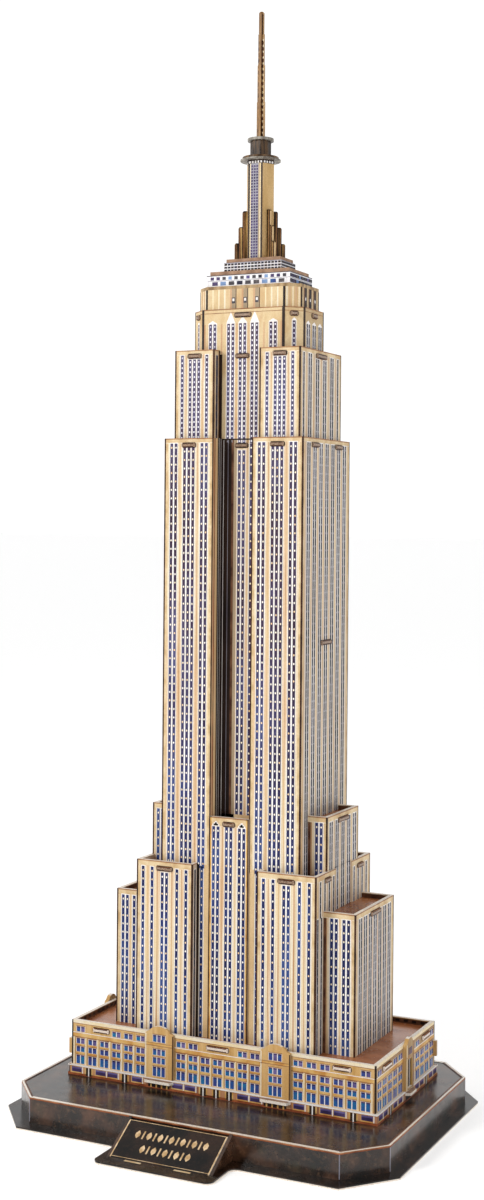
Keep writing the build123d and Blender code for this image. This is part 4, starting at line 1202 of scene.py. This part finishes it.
def print_portals():
    sheet = Print("portals")
    _, (_, depth), _ = span("street_portals")
    for face in fronts(depth):
        for middle in (-PORTAL_MIDDLE, PORTAL_MIDDLE):
            left, right = middle - PORTAL_HALF + 0.05, middle + PORTAL_HALF - 0.05
            for row in PORTAL_ROWS:
                pane_set(sheet, face, middle, 3, row, 1.95)
            sheet["edge"].bar(face, left, right, PORTAL_BAND[0] - 0.35, PORTAL_BAND[0], PANE)
            sheet["gold"].bar(face, left, right, *PORTAL_BAND, GROUND)
            sheet["edge"].bar(face, left, right, PORTAL_BAND[1], PORTAL_BAND[1] + 0.25, PANE)
            sheet["fold"].bar(face, right - 0.5, right, PORTAL_FOOT, PORTAL_TOP, PANE)
            sheet["glow"].bar(face, left, left + 0.6, PORTAL_FOOT, PORTAL_TOP, PANE)
    (_, end), _, _ = span("end_portals")
    for face in ends(end):
        print_end_portal(sheet, face, face.lifted(-1.0))
    sheet.finish()


def print_end_portal(sheet, face, door):
    """Three slit windows over a tall dark doorway, which is set back from the portal's face."""
    for k in (-1, 0, 1):
        sheet["plum"].bar(face, k * 1.9 - 0.55, k * 1.9 + 0.55, 36.2, 39.6, PANE)
    sheet["shade"].bar(door, -DOORWAY_HALF, DOORWAY_HALF, *DOORWAY, GROUND)
    for k in (-1, 1):
        sheet["line"].bar(door, k * 1.5 - 0.2, k * 1.5 + 0.2, *DOORWAY, PANE)
    sheet["edge"].bar(face, -5.1, 5.1, 34.9, 35.3, PANE)
    sheet["glow"].bar(face, -5.1, -4.3, 19.0, 41.5, PANE)
    sheet["edge"].bar(face, 4.5, 5.1, 19.0, 41.5, PANE)


def shop(sheet, face, left, right):
    sheet["gold"].bar(face, left - 0.45, right + 0.45, SHOP_FOOT, SHOP_HEAD, WASH)
    sheet["lilac"].bar(face, left, right, SHOP_SILL, SHOP_HEAD - 0.3, GROUND)
    sheet["plum"].bar(face, left + 0.3, right - 0.3, SHOP_SILL, SHOP_HEAD - 1.2, PANE)
    sheet["line"].bar(face, right + 0.2, right + 0.7, SHOP_FOOT + 0.1, SHOP_HEAD, PANE)


def entrance(sheet, face, middle):
    sheet["gold"].bar(face, middle - 2.3, middle + 2.3, DOOR_FOOT + 0.4, SHOP_HEAD, WASH)
    sheet["shade"].bar(face, middle - 1.6, middle + 1.6, DOOR_FOOT, SHOP_HEAD, GROUND)
    sheet["line"].bar(face, middle - 0.3, middle + 0.3, DOOR_FOOT, SHOP_HEAD, PANE)


def street_trim(sheet, face, reach, low, high):
    """The red foot of the street band and the white line along its head."""
    sheet["rust"].bar(face, -reach, reach, low, low + 1.1, WASH)
    sheet["line"].bar(face, -reach, reach, high - 0.6, high, PANE)
    sheet["edge"].bar(face, -reach, reach, high - 0.8, high - 0.6, PANE)


def print_street():
    sheet = Print("street", "street_print")
    (_, end), _, (low, high) = span("street_band_front_right")
    depth = span("street_band_back_left")[1][1]
    for face in fronts(depth):
        street_trim(sheet, face, end, low, high)
        for sign in (-1, 1):
            for a, b in SHOPS_SIDE:
                shop(sheet, face, *sorted((sign * a, sign * b)))
            for middle in DOORS_SIDE:
                entrance(sheet, face, sign * middle)
            sheet["shade"].bar(face, sign * ARCADE[0], sign * ARCADE[1], low + 0.6, low + 3.0, GROUND)
            for k in range(4):
                spot = sign * (ARCADE[0] + 1.6 + ARCADE_PITCH * k)
                sheet["gold"].bar(face, spot - 0.4, spot + 0.4, low + 0.4, low + 3.0, PANE)
        for a, b in SHOPS_MID:
            shop(sheet, face, a, b)
        for middle in DOORS_MID:
            entrance(sheet, face, middle)
    for face in ends(end):
        street_trim(sheet, face, depth, low, high)
        for sign in (-1, 1):
            for start in SHOPS_END:
                shop(sheet, face, *sorted((sign * start, sign * (start + SHOP_WIDE))))
            entrance(sheet, face, sign * DOOR_END)
        sheet["shade"].bar(face, -4.6, 4.6, low + 0.4, low + 3.0, GROUND)
    sheet.finish()


# ------------------------------------------------------------------ plinth and nameplate

def print_plinth():
    """A rust line under the rim's pale edge all round, and a crease down each corner.

    At the sides and the clipped corners the inner part of the pale edge is dark."""
    sheet = Print("plinth", "marble_print")
    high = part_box("base_right_surround")[1]
    half_x, half_y, top = (value / MM for value in high)
    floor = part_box("base_flange")[1][2] / MM
    straight_x, straight_y = half_x - RIM_CUT_X, half_y - RIM_CUT_Y
    corners = [(straight_x, -half_y), (half_x, -straight_y), (half_x, straight_y), (straight_x, half_y)]
    corners += [(-x, y) for x, y in reversed(corners)]
    for (x0, y0), (x1, y1) in zip(corners, corners[1:] + corners[:1]):
        start, finish = Vector((x0, y0, 0)), Vector((x1, y1, 0))
        length = (finish - start).length
        face = Plane(start, finish - start, (0, 0, 1))
        if abs(finish.y - start.y) > 1.0:
            above = Plane(start + Vector((0, 0, top)), finish - start, -face.out)
            outline = [(MITRE * RIM_PALE, RIM_PALE), (length - MITRE * RIM_PALE, RIM_PALE)]
            outline += [(length - MITRE * BOARD, BOARD), (MITRE * BOARD, BOARD)]
            sheet["umber"].shape(above, outline, GROUND)
        sheet["rust"].bar(face, 0, length, top - 0.8, top, GROUND)
        sheet["edge"].bar(face, 0, length, top - 0.35, top, PANE)
        for u0, u1 in ((0, 0.25), (length - 0.25, length)):
            sheet["dusk"].bar(face, u0, u1, floor + 0.4, top - 0.8, GROUND)
    sheet.finish()


def nameplate_face():
    """The sloping face from its foot up, with its half width and its length."""
    low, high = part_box("nameplate_board")
    foot = ((low[0] + high[0]) / 2 / MM, low[1] / MM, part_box("base_flange")[1][2] / MM)
    up = Vector((0, PLATE_RUN, high[2] / MM - foot[2]))
    return Plane(foot, (1, 0, 0), up), (high[0] - low[0]) / 2 / MM, up.length


def print_nameplate():
    """Fine gilt edges round two rows of plain lozenges and bars; the plate carries no words."""
    sheet = Print("nameplate", "marble_print")
    face, half, length = nameplate_face()
    ink = sheet["gilt"]
    ink.bar(face, -half, -half + 0.6, 0.3, length - 0.3, GROUND)
    ink.bar(face, half - 0.6, half, 0.3, length - 0.3, GROUND)
    ink.bar(face, -half + 0.6, half - 0.6, 0.9, 1.15, GROUND)
    ink.bar(face, -half + 0.6, half - 0.6, length - 0.55, length - 0.3, GROUND)
    for level, count in ((0.66, 13), (0.32, 9)):
        v = level * length
        for k in range(count):
            u = (k - (count - 1) / 2) * FRIEZE_PITCH
            if k % 2:
                ink.bar(face, u - 0.4, u + 0.4, v - 2.3, v + 2.3, GROUND)
            else:
                ink.dot(face, u, v, 2.4, 4.8, GROUND)
    tongue = Plane(face.origin, (1, 0, 0), (0, 1, 0))
    for middle in (-13.0, 13.0):
        sheet["parapet"].bar(tongue, middle - 4.3, middle + 4.3, -1.8, -0.3, GROUND)
        sheet["shade"].bar(tongue, middle - 4.6, middle + 4.6, -2.1, -0.1, WASH)
    sheet.finish()


# ------------------------------------------------------------------ studio

def add_camera():
    data = bpy.data.cameras.new("camera")
    data.sensor_width = SENSOR
    data.lens = LENS
    data.shift_x, data.shift_y = SHIFT
    data.clip_start, data.clip_end = 0.01, 50.0
    camera = bpy.data.objects.new("camera", data)
    turn = Matrix.Rotation(CAMERA_TURN, 4, "Z") @ Matrix.Rotation(math.pi / 2 + CAMERA_PITCH, 4, "X")
    camera.matrix_world = Matrix.Translation(CAMERA_PLACE) @ turn @ Matrix.Rotation(CAMERA_ROLL, 4, "Z")
    bpy.context.scene.collection.objects.link(camera)
    bpy.context.scene.camera = camera


def add_light(name, place, target, size, power, colour):
    data = bpy.data.lights.new(name, "AREA")
    data.shape = "RECTANGLE"
    data.size, data.size_y = size
    data.energy = power
    data.color = colour
    light = bpy.data.objects.new(name, data)
    aim = Vector(target) - Vector(place)
    light.matrix_world = Matrix.Translation(place) @ aim.to_track_quat("-Z", "Y").to_matrix().to_4x4()
    bpy.context.scene.collection.objects.link(light)


def add_world():
    """A white studio: its light comes mostly from behind the model, and its walls look plain white."""
    world = bpy.data.worlds.new("studio")
    world.use_nodes = True
    tree = world.node_tree
    place = tree.nodes.new("ShaderNodeTexCoord")
    lean = tree.nodes.new("ShaderNodeVectorMath")
    lean.operation = "DOT_PRODUCT"
    lean.inputs[1].default_value = (-math.sin(CAMERA_TURN), math.cos(CAMERA_TURN), 0.0)
    level = tree.nodes.new("ShaderNodeMapRange")
    for socket, number in zip(level.inputs[1:], (-0.6, 0.8, WORLD_DIM, WORLD_BRIGHT)):
        socket.default_value = number
    seen = tree.nodes.new("ShaderNodeLightPath")
    shown = tree.nodes.new("ShaderNodeMath")
    shown.operation = "MAXIMUM"
    background = tree.nodes["Background"]
    tree.links.new(place.outputs["Generated"], lean.inputs[0])
    tree.links.new(lean.outputs["Value"], level.inputs[0])
    tree.links.new(level.outputs[0], shown.inputs[0])
    tree.links.new(seen.outputs["Is Camera Ray"], shown.inputs[1])
    tree.links.new(shown.outputs[0], background.inputs["Strength"])
    background.inputs["Color"].default_value = (1.0, 1.0, 1.0, 1.0)
    bpy.context.scene.world = world


def add_floor():
    """A large pale sheet that glows a little, as a lit studio table does."""
    mesh = bpy.data.meshes.new("floor")
    corners = [(FLOOR * x, FLOOR * y, 0) for x, y in ((-1, -1), (1, -1), (1, 1), (-1, 1))]
    mesh.from_pydata(corners, [], [(0, 1, 2, 3)])
    paint = Paint("floor_pale")
    paint.shader.inputs["Roughness"].default_value = 0.7
    paint.put(paint.shader.inputs["Base Color"], (0.88, 0.88, 0.88))
    paint.put(paint.shader.inputs["Emission Color"], (1.0, 1.0, 1.0))
    paint.shader.inputs["Emission Strength"].default_value = FLOOR_GLOW
    mesh.materials.append(paint.material)
    floor = bpy.data.objects.new("floor", mesh)
    bpy.context.scene.collection.objects.link(floor)


def add_studio():
    add_camera()
    add_world()
    add_floor()
    middle = (0.0, 0.0, 0.28)
    add_light("key", (-0.75, -1.35, 0.90), middle, (0.3, 0.4), 14.0, (1.0, 0.98, 0.95))
    add_light("fill", (1.9, -0.9, 0.7), middle, (0.6, 1.2), 9.0, (0.96, 0.98, 1.0))
    view = bpy.context.scene.view_settings
    view.view_transform = "Standard"
    view.look = "None"


INKS = make_inks()
add_studio()
dress_walls()
dress_podium()
dress_roofs()
dress_plinth()
dress_metals()
print_shaft()
print_upper()
print_crown()
print_attic()
print_deck()
print_mast()
print_mast_wings()
print_antenna()
print_centre()
print_blocks()
print_wings()
print_upper_wings()
print_podium()
print_portals()
print_street()
print_plinth()
print_nameplate()
